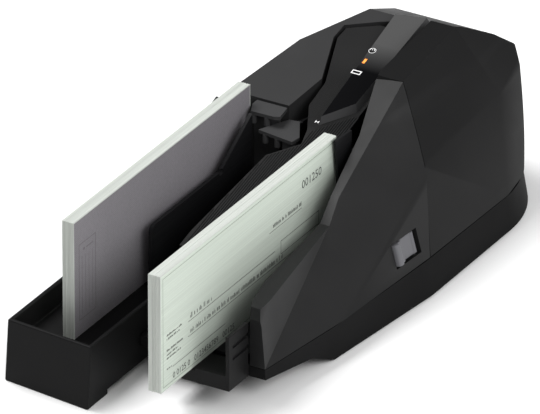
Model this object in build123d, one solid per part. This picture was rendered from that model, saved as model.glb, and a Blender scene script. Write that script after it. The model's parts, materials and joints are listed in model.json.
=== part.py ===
from build123d import *
import os

# Desktop cheque scanner: a base tray, an island between two lanes, and three hinged covers.
# Cheques stand on their long edge in the feed lane at the right front. They run back along the
# island, turn round its rear end and come forward into the exit pocket at the left front.
# Millimetres. X to the right, Y to the back, Z up from the table. Stations along Y are counted
# from a datum in the feed lane; at the end every piece is moved so that the origin is the
# centre of the footprint on the table.

# ---------------------------------------------------------------- overall sizes
half_width = 74.5
front_y = -161.5
rear_centre_y = 123.0
rear_y = rear_centre_y + half_width
seam_z = 20.4
seam_gap = 0.4
cover_gap = 0.6
lane_floor_z = 21.3
cover_wall = 2.2
touch_gap = 0.3
below_all = -60.0
clear_by = 10.0
over = 1.0

# ---------------------------------------------------------------- documents
cheque_length = 182.6
cheque_height = 69.2
feed_stack_thickness = 7.5
exit_stack_thickness = 7.2
feed_stack_x = 16.5
feed_stack_rear_y = 22.8
exit_stack_x = -52.4
exit_stack_rear_y = 50.7

# ---------------------------------------------------------------- base tray and feet
base_wall = 2.5
base_floor = 2.5
plinth_z = 1.0
base_front_y = -108.4
base_front_x = 57.5
base_mid_x = 65.0
base_mid_y = -50.0
base_side_y = 38.0
seam_front_x = 56.7
seam_mid_x = 64.2
seam_side_x = 70.2
seam_rear_x = 71.4
shelf_z = 14.2
shelf_rear_z = 9.8
shelf_rear_y = -68.3
plinth_front_y = -50.0
pocket_rear_y = -60.0
divide_x = -19.6
foot_radius = 6.0
foot_recess = 0.8
foot_places = [(50.0, -34.0), (54.0, 128.0), (-50.0, -34.0), (-54.0, 128.0)]

# ---------------------------------------------------------------- deck plate and its screws
deck_thickness = 2.0
deck_inset = 4.4
deck_room_inset = 3.4
deck_boss_radius = 4.6
deck_notch_overrun = 2.0
front_notch_overrun = 9.0
post_radius = 4.0
screw_radius = 1.5
screw_clearance = 0.15
screw_head_radius = 2.9
screw_head_height = 1.8
screw_grip = 9.0
post_places = [(46.0, -84.0), (56.0, 44.0), (58.0, 110.0), (-58.0, 110.0), (-61.0, 20.0), (40.0, 168.0),
               (-40.0, 168.0)]

# ---------------------------------------------------------------- exit pocket
pocket_left_front_y = -155.0
pocket_top_z = 34.8
pocket_lean = 3.7
pocket_corner_lean = 1.5
pocket_side_lean = 1.0
pocket_wall = 2.6
pocket_foot_wall = 3.6
pocket_foot_length = 21.0
pocket_belly_z = 2.6

# ---------------------------------------------------------------- feed tray
tray_front_y = -129.0
tray_left_x = 12.0
tray_right_x = 47.0
tray_lip_height = 1.6
tray_wall = 2.2
guide_height = 32.0
guide_slot_height = 2.2
guide_slot_margin = 4.0
guide_slot_drops = [6.0, 13.0]

# ---------------------------------------------------------------- right-hand covers: corner points
side_top_front = (53.5, -105.5, 53.7)
crest_step_low = (43.3, -18.2, 60.2)
crest_step_high = (40.4, -3.2, 69.4)
crest_seam = (35.0, 74.5, 102.0)
crest_rear = (33.5, 133.6, 108.4)
rear_slope_top = (34.0, 139.4, 106.2)
rear_slope_mid = (39.5, 165.5, 91.5)
rear_slope_low = (44.1, 179.2, 81.2)
crease_seam = (59.0, 57.7, 61.5)
crease_rear = (56.9, 142.0, 70.6)
seam_corner = (56.7, -108.4, 20.4)
seam_bend = (63.5, -54.7, 20.4)
crease_foot = (65.3, -42.2, 20.4)
side_seam_foot = (70.0, 43.0, 20.4)
side_rear_foot = (71.5, 127.6, 20.4)
rear_corner_foot = (68.3, 143.2, 20.4)
rear_corner_top = (49.9, 179.5, 72.3)
back_shoulder_z = 74.0
back_shoulder_y = 184.0
back_foot_z = 45.0
front_shoulder_z = 48.0
cover_rear_radius = 72.3
lane_edge = [(47.5, -108.4), (43.5, -98.0), (40.3, -80.0), (37.5, -17.0), (30.2, 36.4), (20.0, 72.0)]
slot_edge_x = 18.6
slot_edge_y = 80.0

# ---------------------------------------------------------------- left cover, island and strip
top_z = 65.0
top_slope = 0.25
left_crest_front = (-60.3, 64.2)
left_crest_mid = (-47.3, 107.2)
left_crest_rear = (-31.0, 132.2)
left_side_foot_front = (-70.2, 38.0, 20.4)
left_side_foot_rear = (-71.4, 123.0, 20.4)
left_shoulder_mid = (-66.0, 123.0, 50.0)
left_shoulder_rear = (-58.0, 143.0, 60.0)
left_cover_front_y = 58.0
left_edge = [(-25.3, 58.0), (-19.9, 83.5), (-30.9, 115.3), (-30.6, 125.9), (-13.4, 135.2)]
spine_left_x = -8.0
spine_right_x = 18.2
spine_front_y = 137.5
spine_level_length = 5.0
island_wall = 2.2
island_front_y = -59.7
island_right = [(16.2, 25.0), (14.5, 40.0), (14.5, 133.0)]
island_left = [(-12.0, 132.4), (-28.2, 124.2), (-28.7, 115.5), (-16.5, 81.3), (-15.5, 62.1), (-6.3, 44.2),
               (-3.7, 33.4), (-17.0, 19.0), (-24.0, -47.0)]
strip_rise = 4.0
strip_outline = [(-2.2, 49.9), (12.0, 66.0), (13.2, 143.0), (-6.7, 139.5)]

# ---------------------------------------------------------------- hinges, lever and button
pin_radius = 1.5
pin_clearance = 0.05
knuckle_radius = 3.6
knuckle_height = 8.0
knuckle_levels = [24.0, 39.0]
pin_top_z = 50.0
front_hinge = (49.5, -99.0)
corner_round = 8.0
rear_hinge_x = slot_edge_x + corner_round
rear_hinge = (rear_hinge_x, rear_centre_y + (cover_rear_radius**2 - rear_hinge_x**2) ** 0.5 - corner_round)
left_hinge_x = spine_left_x - corner_round
left_hinge = (left_hinge_x, rear_centre_y + (cover_rear_radius**2 - left_hinge_x**2) ** 0.5 - corner_round)
knuckle_web = 4.0
lever_y = 25.3
lever_z = 32.6
lever_room_width = 24.0
lever_room_height = 14.0
lever_room_depth = 6.6
lever_side_gap = 1.0
lever_pad_width = 8.0
lever_pad_thickness = 3.4
lever_plate_thickness = 1.8
lever_axis_depth = 3.4
lever_eye_radius = 2.4
lever_pin_radius = 1.2
button_place = (-2.9, 108.1)
button_radius = 1.6
button_clearance = 0.2
button_height = 3.4
button_stand = 0.4
lamp_place = (-2.6, 99.3)
lamp_width = 1.4
lamp_length = 3.6
lamp_depth = 2.0
lamp_clearance = 0.1

# ---------------------------------------------------------------- exit lane furniture
divider_x = -37.2
divider_thickness = 2.0
divider_front_y = -66.0
divider_step_y = 6.4
divider_rear_y = 39.2
divider_top_z = 60.0
divider_rear_z = 80.0
divider_corner_round = 4.0
divider_bead_radius = 2.0
side_wall_thickness = 2.2
side_wall_front_z = 35.0
side_wall_rear_z = 74.0
outer_cap = [(-44.5, 57.0), (-25.9, 57.0), (-24.0, 46.0), (-27.0, 44.5), (-41.0, 44.3), (-44.5, 52.0)]
outer_cap_z = 76.5
outer_column = [(-44.0, 57.0), (-44.0, 53.0), (-30.0, 55.0), (-30.0, 57.0)]
inner_cap = [(-33.0, 38.5), (-10.4, 35.0), (-9.4, 41.5), (-18.4, 57.5), (-24.6, 56.6)]
inner_cap_z = 70.0
inner_column = [(-18.0, 53.0), (-12.5, 46.0), (-10.0, 38.0), (-18.0, 38.0)]
cap_thickness = 2.0
cap_roller_radius = 1.6
cap_roller_length = 5.0
outer_cap_rollers = [(-40.0, 45.6), (-32.0, 45.9)]
inner_cap_rollers = [(-29.0, 39.3), (-21.0, 38.1)]
diverter_place = (-20.5, 60.5)
diverter_tip = (-18.3, 69.5)
diverter_bottom_z = 24.0
diverter_top_z = 70.0
diverter_pin_radius = 1.0
diverter_eye_radius = 2.0
diverter_root = 2.4
diverter_edge = 0.8
flap_pin_place = (27.0, 34.0)
flap_pin_radius = 1.0
flap_eye_radius = 2.0
flap_x = 25.6
flap_thickness = 1.4
flap_bottom_z = 24.0
flap_eye_top_z = 62.0
flap_front_y = 12.0
flap_front_z = 58.0
flap_pin_stand = 1.0
flap_waist = (20.9, 60.0)
flap_nose = (16.7, 90.5)
flap_rear_z = 89.4

# ---------------------------------------------------------------- rollers, belt and motor
shaft_radius = 2.0
shaft_clearance = 0.05
shaft_bottom_z = 11.4
shaft_top_z = 59.8
bearing_radius = 4.2
bearing_height = 3.4
drive_tyre_radius = 6.0
idler_radius = 4.5
retard_radius = 3.2
idler_hub_radius = 2.4
hub_overhang = 1.0
idler_pin_radius = 1.5
tyre_height = 10.0
tyre_levels = [28.0, 46.0]
tyre_room = 0.7
nip_gap = 0.6
nip_x = 16.3
pick_place = (nip_x - drive_tyre_radius - 0.4, 5.0)
feed_place = (nip_x - drive_tyre_radius, 52.0)
transport_place = (nip_x - drive_tyre_radius - 0.2, 95.0)
exit_place = (-11.0, 76.0)
motor_place = (-6.0, -6.0)
drive_places = [pick_place, feed_place, transport_place, exit_place, motor_place]
retard_place = (nip_x + nip_gap + retard_radius, feed_place[1])
pinch_place = (nip_x + nip_gap + idler_radius, transport_place[1])
exit_idler_place = (exit_place[0] - drive_tyre_radius - nip_gap - idler_radius, exit_place[1])
upper_plate_z = 57.4
upper_plate_front_y = -13.0
upper_plate_thickness = 1.4
pulley_radius = 5.0
pulley_height = 5.0
pulley_z = 12.0
belt_thickness = 1.2
belt_width = 4.0
belt_gap = 0.3
motor_radius = 8.0
motor_top_z = 48.0
retard_block = [(19.2, 44.0), (26.6, 44.0), (21.2, 63.0), (19.2, 63.0)]
retard_top_z = 70.0
bracket_radius = 2.5
bracket_height = 3.0
bracket_gap = 0.6

# ---------------------------------------------------------------- readers, boards and sockets
sensor_y = 111.0
sensor_length = 11.4
sensor_gap = 0.3
sensor_bottom_z = 24.0
sensor_top_z = 86.0
left_sensor_depth = 5.0
right_sensor_depth = 4.5
right_sensor_flange = 2.0
head_y = 79.0
head_length = 5.4
head_depth = 6.0
head_top_z = 35.0
cartridge_low = (-14.0, 94.0)
cartridge_high = (2.0, 122.0)
cartridge_top_z = 74.0
board_low = (-54.0, 27.0)
board_high = (-22.0, 108.0)
board_z = 7.0
board_thickness = 1.6
standoff_radius = 2.5
standoff_inset = 4.0
chip_places = [(-44.0, 44.0), (-32.0, 64.0), (-44.0, 88.0)]
chip_size = (11.0, 11.0, 2.2)
socket_length = 18.3
usb_x = 1.2
usb_width = 11.2
usb_low_z = 25.3
usb_height = 10.4
usb_wall = 1.4
usb_room_depth = 9.0
power_x = 11.8
power_z = 30.0
power_radius = 3.4
power_room_radius = 2.6
power_room_depth = 9.0
power_pin_radius = 0.9


# ================================================================ helpers
def plan_face(points):
    """Closed polygon in the XY plane."""
    return make_face(Polyline(*points, close=True))


def moved_in(points, inset):
    """Corners of a polygon whose every side has moved inwards by the inset."""
    count = len(points)
    area = sum(points[i - 1][0] * points[i][1] - points[i][0] * points[i - 1][1] for i in range(count))
    inwards = inset if area > 0 else -inset
    lines = []
    for i in range(count):
        (ax, ay), (bx, by) = points[i - 1], points[i]
        length = ((bx - ax) ** 2 + (by - ay) ** 2) ** 0.5
        nx, ny = (ay - by) / length, (bx - ax) / length
        lines.append((nx, ny, nx * ax + ny * ay + inwards))
    corners = []
    for i in range(count):
        (a, b, c), (d, e, f) = lines[i], lines[(i + 1) % count]
        turn = a * e - b * d
        if abs(turn) > 1e-6:
            corners.append(((c * e - b * f) / turn, (a * f - c * d) / turn))
        else:
            corners.append((points[i][0] + a * inwards, points[i][1] + b * inwards))
    return corners


def upright(face, bottom_z, top_z):
    """Vertical prism over a plan face."""
    return extrude(Plane.XY.offset(bottom_z) * face, amount=top_z - bottom_z)


def profile_block(points, left_x, right_x, inset=0.0):
    """Prism along X whose section is a polygon of (y, z) points."""
    return extrude(Plane.YZ.offset(left_x) * plan_face(moved_in(points, inset)), amount=right_x - left_x)


def block(low, high):
    """Box between two opposite corners."""
    size = [high[i] - low[i] for i in range(3)]
    middle = [(high[i] + low[i]) / 2 for i in range(3)]
    return Pos(*middle) * Box(*size)


def post(place, bottom_z, top_z, radius):
    """Upright cylinder at a plan position."""
    return Pos(place[0], place[1], (bottom_z + top_z) / 2) * Cylinder(radius, top_z - bottom_z)


def ring(place, bottom_z, top_z, outer_radius, bore_radius):
    """Upright bush."""
    bore = post(place, bottom_z - clear_by, top_z + clear_by, bore_radius)
    return post(place, bottom_z, top_z, outer_radius) - bore


def trim(solid, corners, inside, inset=0.0):
    """Cut away what lies outside the plane through three corners, moved inwards by the inset."""
    a, b, c = (Vector(*corner) for corner in corners)
    normal = (b - a).cross(c - a).normalized()
    if normal.dot(Vector(*inside) - a) > 0:
        normal = normal * -1
    plane = Plane(origin=a - normal * inset, z_dir=normal)
    return split(solid, bisect_by=plane, keep=Keep.BOTTOM)


def group(solids):
    """Separate solids kept together as one piece."""
    return Compound(children=[solid.solid() for solid in solids])


def top_height(y):
    """Height of the sloping top plane of the island and the left cover."""
    return top_z + top_slope * y


def below_top(front, rear, rise=0.0):
    """Everything under the sloping top plane, raised by the given amount."""
    outline = [(front, 0), (front, top_height(front) + rise), (rear, top_height(rear) + rise), (rear, 0)]
    return profile_block(outline, -half_width, half_width)


def plan_distance(a, b):
    """Distance between two positions seen from above."""
    return ((a[0] - b[0]) ** 2 + (a[1] - b[1]) ** 2) ** 0.5


# ================================================================ base
def base_outline(front_x, mid_x, side_x, rear_x, inset=0.0):
    """Plan of the base: flared sides, a round rear end and a step at the exit pocket."""
    corners = moved_in([
        (-rear_x, rear_y + half_width), (-rear_x, rear_centre_y), (-side_x, base_side_y),
        (-side_x, pocket_rear_y), (divide_x, pocket_rear_y), (divide_x, base_front_y),
        (front_x, base_front_y), (mid_x, base_mid_y), (side_x, base_side_y), (rear_x, rear_centre_y),
        (rear_x, rear_y + half_width),
    ], inset)[1:-1]
    radius = rear_x - inset
    left, right = (-radius, rear_centre_y), (radius, rear_centre_y)
    sides = Polyline(left, *corners[1:-1], right)
    return make_face(sides + ThreePointArc(right, (0, rear_centre_y + radius), left))


def seam_outline(inset):
    """Plan of the seam between the base and the covers."""
    return base_outline(seam_front_x, seam_mid_x, seam_side_x, seam_rear_x, inset)


def base_body(inset):
    """Tapered body of the base between the plinth and the seam."""
    foot = Pos(0, 0, plinth_z) * base_outline(base_front_x, base_mid_x, half_width, half_width, inset)
    return loft([foot, Pos(0, 0, seam_z - seam_gap) * seam_outline(inset)], ruled=True)


def base_tray():
    """Open tray with posts for the deck; its front shelf is raised off the table."""
    body = base_body(0)
    front, rear = base_front_y - over, rear_y + over
    floor_line = [(front, shelf_z), (shelf_rear_y, shelf_rear_z), (plinth_front_y, plinth_z), (rear, plinth_z)]
    under = [(front, -over)] + floor_line + [(rear, -over)]
    raised = [(y, z + base_floor) for y, z in floor_line]
    room = profile_block(raised + [(rear, seam_z + over), (front, seam_z + over)], -half_width, half_width)
    tray = body - (base_body(base_wall) & room)
    post_top = lane_floor_z - deck_thickness
    for place in post_places:
        tray += post(place, plinth_z + base_floor / 2, post_top, post_radius)
    for x in (board_low[0] + standoff_inset, board_high[0] - standoff_inset):
        for y in (board_low[1] + standoff_inset, board_high[1] - standoff_inset):
            tray += post((x, y), plinth_z + base_floor / 2, board_z, standoff_radius)
    tray -= profile_block(under, -half_width - over, half_width + over)
    for place in post_places:
        tray -= post(place, lane_floor_z - screw_grip, post_top + over, screw_radius + screw_clearance)
    for place in foot_places:
        tray -= post(place, plinth_z - over, plinth_z + foot_recess, foot_radius + touch_gap)
    return tray


def rubber_feet():
    """Four round pads let into the plinth."""
    return group([post(place, 0, plinth_z + foot_recess, foot_radius) for place in foot_places])


def deck_plate():
    """Flat plate on the posts; the lanes run on its top face."""
    bottom = lane_floor_z - deck_thickness
    plate = upright(seam_outline(deck_inset), bottom, lane_floor_z)
    for place in post_places:
        sunk_z = lane_floor_z - screw_head_height
        plate -= post(place, bottom - over, lane_floor_z, screw_radius + screw_clearance)
        plate -= post(place, sunk_z, lane_floor_z + over, screw_head_radius + screw_clearance)
    for place in drive_places:
        plate -= post(place, bottom - over, lane_floor_z + over, bearing_radius)
    plate -= hinge_notch(front_hinge, 1, -1, front_notch_overrun)
    plate -= hinge_notch(rear_hinge, -1, 1, 0)
    plate -= hinge_notch(left_hinge, 1, 1, 0)
    return plate


def hinge_notch(place, side, end, inward):
    """Ring-shaped notch in the deck, through which a cover's foot passes as it swings about its hinge."""
    x, y = place
    far_x, far_y = x + side * half_width, y + end * half_width
    near_y = y - end * deck_notch_overrun
    near_x = x - side * inward
    low = (min(near_x, far_x), min(near_y, far_y), 0)
    high = (max(near_x, far_x), max(near_y, far_y), rear_y)
    corner = block(low, high)
    return corner & ring(place, 0, rear_y, corner_round + cover_gap, deck_boss_radius)


def deck_screws():
    """Screws with sunk heads that hold the deck plate down on its posts."""
    screws = []
    for place in post_places:
        sunk_z = lane_floor_z - screw_head_height
        shank = post(place, lane_floor_z - screw_grip + touch_gap, sunk_z, screw_radius)
        screws.append(shank + post(place, sunk_z, lane_floor_z - screw_clearance, screw_head_radius))
    return group(screws)


# ================================================================ pocket, tray and lane walls
def exit_pocket():
    """Open-topped pocket for cheques that come out; its front leans back a little."""
    right = divide_x - touch_gap / 3
    rear = pocket_rear_y - touch_gap / 3
    lean_x = right - pocket_side_lean
    foot_corners = [(-half_width, pocket_left_front_y), (right, front_y), (right, rear), (-half_width, rear)]
    rim_corners = [(-half_width, pocket_left_front_y + pocket_lean),
                   (lean_x, front_y + pocket_lean + pocket_corner_lean), (lean_x, rear), (-half_width, rear)]
    shell = loft([plan_face(foot_corners), Pos(0, 0, pocket_top_z) * plan_face(rim_corners)], ruled=True)
    room = plan_face(moved_in(rim_corners, pocket_wall))
    shell -= upright(room + Pos(0, 2 * pocket_wall, 0) * room, lane_floor_z, pocket_top_z + over)
    shell -= upright(plan_face(moved_in(foot_corners, pocket_foot_wall)), -over, lane_floor_z - pocket_wall)
    belly_low = (-half_width - over, front_y + pocket_foot_length, -over)
    return shell - block(belly_low, (divide_x + over, pocket_rear_y + over, pocket_belly_z))


def feed_tray():
    """Front end of the feed lane's floor, with a low lip and an upright guide at its right."""
    rear = base_front_y - touch_gap / 3
    tray = block((tray_left_x, tray_front_y, shelf_z), (tray_right_x, rear, lane_floor_z))
    tray -= block((tray_left_x + tray_wall, tray_front_y + tray_wall, shelf_z - over),
                  (tray_right_x - tray_wall, rear - tray_wall, lane_floor_z - tray_wall))
    lip_left = feed_stack_x + feed_stack_thickness + tray_wall
    tray += block((lip_left, tray_front_y, lane_floor_z - tray_wall),
                  (tray_right_x, tray_front_y + tray_wall, lane_floor_z + tray_lip_height))
    guide_top = shelf_z + guide_height
    guide_left = tray_right_x - tray_wall
    guide_rear = base_front_y - cover_gap
    tray += block((guide_left, tray_front_y, lane_floor_z - tray_wall), (tray_right_x, guide_rear, guide_top))
    for drop in guide_slot_drops:
        low_z = guide_top - drop - guide_slot_height
        tray -= block((guide_left + tray_wall / 2, tray_front_y + guide_slot_margin, low_z),
                      (tray_right_x + over, guide_rear + over, guide_top - drop))
    return tray


def divider_plate():
    """Thin upright wall between the main exit lane and the second one, with a bead on its step."""
    left = divider_x - divider_thickness
    plate = profile_block([(divider_front_y, lane_floor_z), (divider_front_y, divider_top_z),
                           (divider_step_y, divider_top_z), (divider_rear_y, divider_rear_z),
                           (divider_rear_y, lane_floor_z)], left, divider_x)
    corner = Vector(divider_x, divider_front_y, divider_top_z)
    edge = plate.edges().filter_by(Axis.X).sort_by(lambda e: (e.center() - corner).length)[0]
    plate = fillet(edge, divider_corner_round)
    return plate + Pos(divider_x, divider_step_y, divider_top_z) * Sphere(divider_bead_radius)


def exit_side_wall():
    """Outer wall of the main exit lane; it stands on the rim of the base."""
    rear = left_cover_front_y - cover_gap
    return profile_block([(pocket_rear_y, seam_z - seam_gap), (pocket_rear_y, side_wall_front_z),
                          (rear, side_wall_rear_z), (rear, seam_z - seam_gap)],
                         -seam_side_x, side_wall_thickness - seam_side_x)


# ================================================================ island
def island_outline(inset):
    """Plan of the island between the feed lane and the exit lanes."""
    front = [(island_left[-1][0], island_front_y), (island_right[0][0], island_front_y)]
    return plan_face(moved_in(front + island_right + island_left, inset))


def reader_room(middle_y, length, low_x, high_x, top):
    """Window for a reader whose face looks at the cheques."""
    low = (low_x, middle_y - length / 2 - sensor_gap, sensor_bottom_z - sensor_gap)
    return block(low, (high_x, middle_y + length / 2 + sensor_gap, top + sensor_gap))


def island_housing():
    """Hollow housing over the rollers; its right face is the feed lane's wall."""
    shell = upright(island_outline(0), lane_floor_z, rear_y) & below_top(front_y, rear_y)
    hollow = upright(island_outline(island_wall), lane_floor_z - over, rear_y)
    shell -= hollow & below_top(front_y, rear_y, -island_wall)
    for place in (pick_place, feed_place, transport_place, exit_place):
        shell -= tyre_windows(place, drive_tyre_radius)
    wall_x = island_right[-1][0]
    shell -= reader_room(sensor_y, sensor_length, wall_x - left_sensor_depth, wall_x + over, sensor_top_z)
    shell -= reader_room(head_y, head_length, wall_x - head_depth, wall_x + over, head_top_z)
    return shell


def tyre_windows(place, radius):
    """Windows for the two treads of a roller."""
    low, high = (post(place, level - tyre_room, level + tyre_height + tyre_room, radius + tyre_room)
                 for level in tyre_levels)
    return low + high


def lamp_block(clearance):
    """Status lamp, or its window when a clearance is given."""
    x, y = lamp_place
    top = top_height(y) + strip_rise
    return block((x - lamp_width / 2 - clearance, y - lamp_length / 2 - clearance, top - lamp_depth),
                 (x + lamp_width / 2 + clearance, y + lamp_length / 2 + clearance, top + lamp_length))


def control_strip():
    """Raised glossy strip along the island's top with the button and the lamp."""
    outline = plan_face(strip_outline)
    strip = upright(outline, lane_floor_z, rear_y) & below_top(front_y, rear_y, strip_rise)
    strip -= below_top(front_y, rear_y)
    strip -= post(button_place, lane_floor_z, rear_y, button_radius + button_clearance)
    return strip - lamp_block(lamp_clearance)


def status_lamp():
    """Light window in the strip."""
    return lamp_block(0) & below_top(front_y, rear_y, strip_rise)


def power_button():
    """Round push button that stands a little above the strip."""
    top = top_height(button_place[1]) + strip_rise + button_stand
    return post(button_place, top - button_height, top, button_radius)


def spine_profile():
    """Side view of the middle of the rear end."""
    start = spine_front_y
    level_end = start + spine_level_length
    return [(start, below_all), (start, top_height(start)), (level_end, top_height(level_end)),
            rear_slope_mid[1:], rear_slope_low[1:], (back_shoulder_y, back_shoulder_z), (rear_y, back_foot_z),
            (rear_y, below_all)]


def socket_rear():
    """How far back the sockets' faces may reach."""
    return rear_centre_y + (cover_rear_radius**2 - power_x**2) ** 0.5


def socket_front():
    """Where the sockets begin, inside the spine panel."""
    return socket_rear() - socket_length


def spine_panel():
    """Fixed panel between the two rear covers, with openings for the sockets."""
    left, right = spine_left_x + touch_gap, slot_edge_x - touch_gap
    panel = block((left, spine_front_y, seam_z), (right, rear_y, rear_y))
    panel &= profile_block(spine_profile(), -half_width, half_width)
    panel = round_rear(panel, 0)
    inner_left, inner_right = left + cover_wall, right - cover_wall
    hollow = profile_block(spine_profile(), inner_left, inner_right, cover_wall)
    panel -= round_rear(hollow, cover_wall)
    panel -= deck_room()
    panel -= usb_block(touch_gap)
    return panel - power_barrel(touch_gap)


def usb_block(clearance):
    """Outside of the data socket."""
    half = usb_width / 2 + clearance
    rear = rear_y if clearance else socket_rear()
    return block((usb_x - half, socket_front(), usb_low_z - clearance),
                 (usb_x + half, rear, usb_low_z + usb_height + clearance))


def usb_socket():
    """Square data socket on a foot that stands on the deck."""
    half = usb_width / 2
    socket = usb_block(0)
    socket += block((usb_x - half, socket_front(), lane_floor_z),
                    (usb_x + half, socket_front() + usb_room_depth, usb_low_z + usb_wall))
    rear = socket_rear()
    return socket - block((usb_x - half + usb_wall, rear - usb_room_depth, usb_low_z + usb_wall),
                          (usb_x + half - usb_wall, rear + over, usb_low_z + usb_height - usb_wall))


def power_barrel(clearance):
    """Outside of the power socket."""
    rear = rear_y if clearance else socket_rear()
    length = rear - socket_front()
    middle = Pos(power_x, socket_front() + length / 2, power_z) * Rot(90, 0, 0)
    return middle * Cylinder(power_radius + clearance, length)


def power_socket():
    """Round power socket with a centre pin, on a foot that stands on the deck."""
    socket = power_barrel(0)
    socket += block((power_x - power_radius, socket_front(), lane_floor_z),
                    (power_x + power_radius, socket_front() + power_room_depth, power_z))
    rear = socket_rear()
    face = Pos(power_x, rear - power_room_depth / 2, power_z) * Rot(90, 0, 0)
    socket -= face * Cylinder(power_room_radius, power_room_depth)
    return socket + face * Cylinder(power_pin_radius, power_room_depth)


# ================================================================ covers
def deck_room():
    """Space that the covers' inner walls leave over the deck plate."""
    return upright(seam_outline(deck_room_inset), 0, lane_floor_z + touch_gap)


def round_rear(solid, inset):
    """Keep what lies within the round rear end."""
    behind = block((-half_width - clear_by, rear_centre_y, below_all),
                   (half_width + clear_by, rear_y + clear_by, rear_y))
    return solid - (behind - post((0, rear_centre_y), below_all, rear_y, cover_rear_radius - inset))


def right_profile():
    """Top of the right-hand covers seen from the side."""
    return [
        (base_front_y, below_all), (base_front_y, front_shoulder_z), side_top_front[1:], crest_step_low[1:],
        crest_step_high[1:], crest_seam[1:], crest_rear[1:], rear_slope_top[1:], rear_slope_mid[1:],
        rear_slope_low[1:], (back_shoulder_y, back_shoulder_z), (rear_y, back_foot_z), (rear_y, below_all),
    ]


def right_stock(inset):
    """Region to the right of the feed lane and of the cheques' path, under the top profile."""
    far_x, far_y = half_width + clear_by, rear_y + clear_by
    outer = [(slot_edge_x, slot_edge_y), (slot_edge_x, far_y), (far_x, far_y), (far_x, base_front_y)]
    plan = plan_face(moved_in(lane_edge + outer, inset))
    bottom = below_all if inset else seam_z
    return upright(plan, bottom, rear_y) & profile_block(right_profile(), 0, far_x, inset)


def front_body(inset):
    """Faceted body of the front cover, longer than the cover itself."""
    inside = (0, 0, 30)
    stock = trim(right_stock(inset), (crease_foot, side_seam_foot, crease_seam), inside, inset)
    slope = trim(stock, (crease_foot, crease_seam, crest_seam), inside, inset)
    nose_low = (0, base_front_y - over, below_all)
    nose = stock & block(nose_low, (half_width + clear_by, crest_step_low[1], rear_y))
    lower = trim(nose, (seam_corner, seam_bend, crest_step_low), inside, inset)
    upper = trim(nose, (seam_corner, side_top_front, crest_step_low), inside, inset)
    return slope + lower + upper


def rear_body(inset):
    """Faceted body of the rear cover, longer than the cover itself."""
    inside = (0, 60, 30)
    body = trim(right_stock(inset), (side_seam_foot, side_rear_foot, crease_rear), inside, inset)
    body = trim(body, (crest_seam, crease_seam, crease_rear), inside, inset)
    body = trim(body, (crease_rear, rear_corner_top, rear_slope_top), inside, inset)
    body = trim(body, (rear_corner_foot, rear_corner_top, crease_rear), inside, inset)
    return round_rear(body, inset)


def seam_stations():
    """Height and distance from the front hinge of each corner of the seam between the covers."""
    corners = [side_seam_foot, crease_seam, crest_seam]
    return [(corner[2], plan_distance(corner, front_hinge)) for corner in corners]


def turned(hinge, stations):
    """Body of revolution about an upright hinge; the first and last radius run on."""
    lowest = stations[0][1]
    (mid_z, mid), (high_z, high) = stations[-2:]
    steep = (high - mid) / (high_z - mid_z)
    outline = [(0, below_all), (lowest, below_all)] + [(radius, z) for z, radius in stations]
    outline += [(high + steep * (rear_y - high_z), rear_y), (0, rear_y)]
    return Pos(hinge[0], hinge[1], 0) * revolve(Plane.XZ * plan_face(outline), Axis.Z)


def front_reach(gap):
    """Space round the front hinge that the front cover fills as it swings."""
    return turned(front_hinge, [(z, radius + gap) for z, radius in seam_stations()])


def rear_reach():
    """Space round the rear hinge in which the rear cover passes the closed front cover."""
    apart = plan_distance(front_hinge, rear_hinge)
    return turned(rear_hinge, [(z, apart - radius - cover_gap) for z, radius in seam_stations()])


def lane_side():
    """Everything to the left of the line between the two right-hand hinges."""
    far = -half_width - clear_by
    outline = [front_hinge, rear_hinge, (far, rear_hinge[1]), (far, front_hinge[1])]
    return upright(plan_face(outline), below_all, rear_y)


def knuckles(place, wall_x):
    """Two hinge rings with webs to the wall beside them."""
    rings = None
    for level in knuckle_levels:
        top = level + knuckle_height
        web = block((min(wall_x, place[0]), place[1] - knuckle_web / 2, level),
                    (max(wall_x, place[0]), place[1] + knuckle_web / 2, top))
        part = post(place, level, top, knuckle_radius) + web
        rings = part if rings is None else rings + part
    return rings


def pin_room(place):
    """Running fit for a hinge pin."""
    return post(place, 0, pin_top_z + cover_gap, pin_radius + pin_clearance)


def hinge_pin(place):
    """Steel pin that stands on the deck."""
    return post(place, lane_floor_z, pin_top_z, pin_radius)


def corner_waste(place, side):
    """What is cut off to round the corner about a rear hinge."""
    x, y = place
    far = x + side * (corner_round + clear_by)
    corner = block((min(x, far), y, below_all), (max(x, far), rear_y + clear_by, rear_y))
    return corner - post(place, below_all, rear_y, corner_round)


def lever_frame():
    """Centre of the release lever on the front cover's side face, with its outward direction."""
    a, b, c = Vector(*crease_foot), Vector(*side_seam_foot), Vector(*crease_seam)
    normal = (b - a).cross(c - a).normalized()
    if normal.X < 0:
        normal = normal * -1
    x = a.X - (normal.Y * (lever_y - a.Y) + normal.Z * (lever_z - a.Z)) / normal.X
    along = (b - a).normalized()
    return Plane(origin=(x, lever_y, lever_z), x_dir=along, z_dir=normal)


def lever_axis_x():
    """How far the lever's axis stands behind the middle of its recess."""
    return lever_room_width / 2 - lever_eye_radius - lever_side_gap


def lever_rod(radius, length):
    """Cylinder on the lever's axis, in the lever's own frame."""
    return Pos(lever_axis_x(), 0, -lever_axis_depth) * Rot(90, 0, 0) * Cylinder(radius, length)


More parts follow.
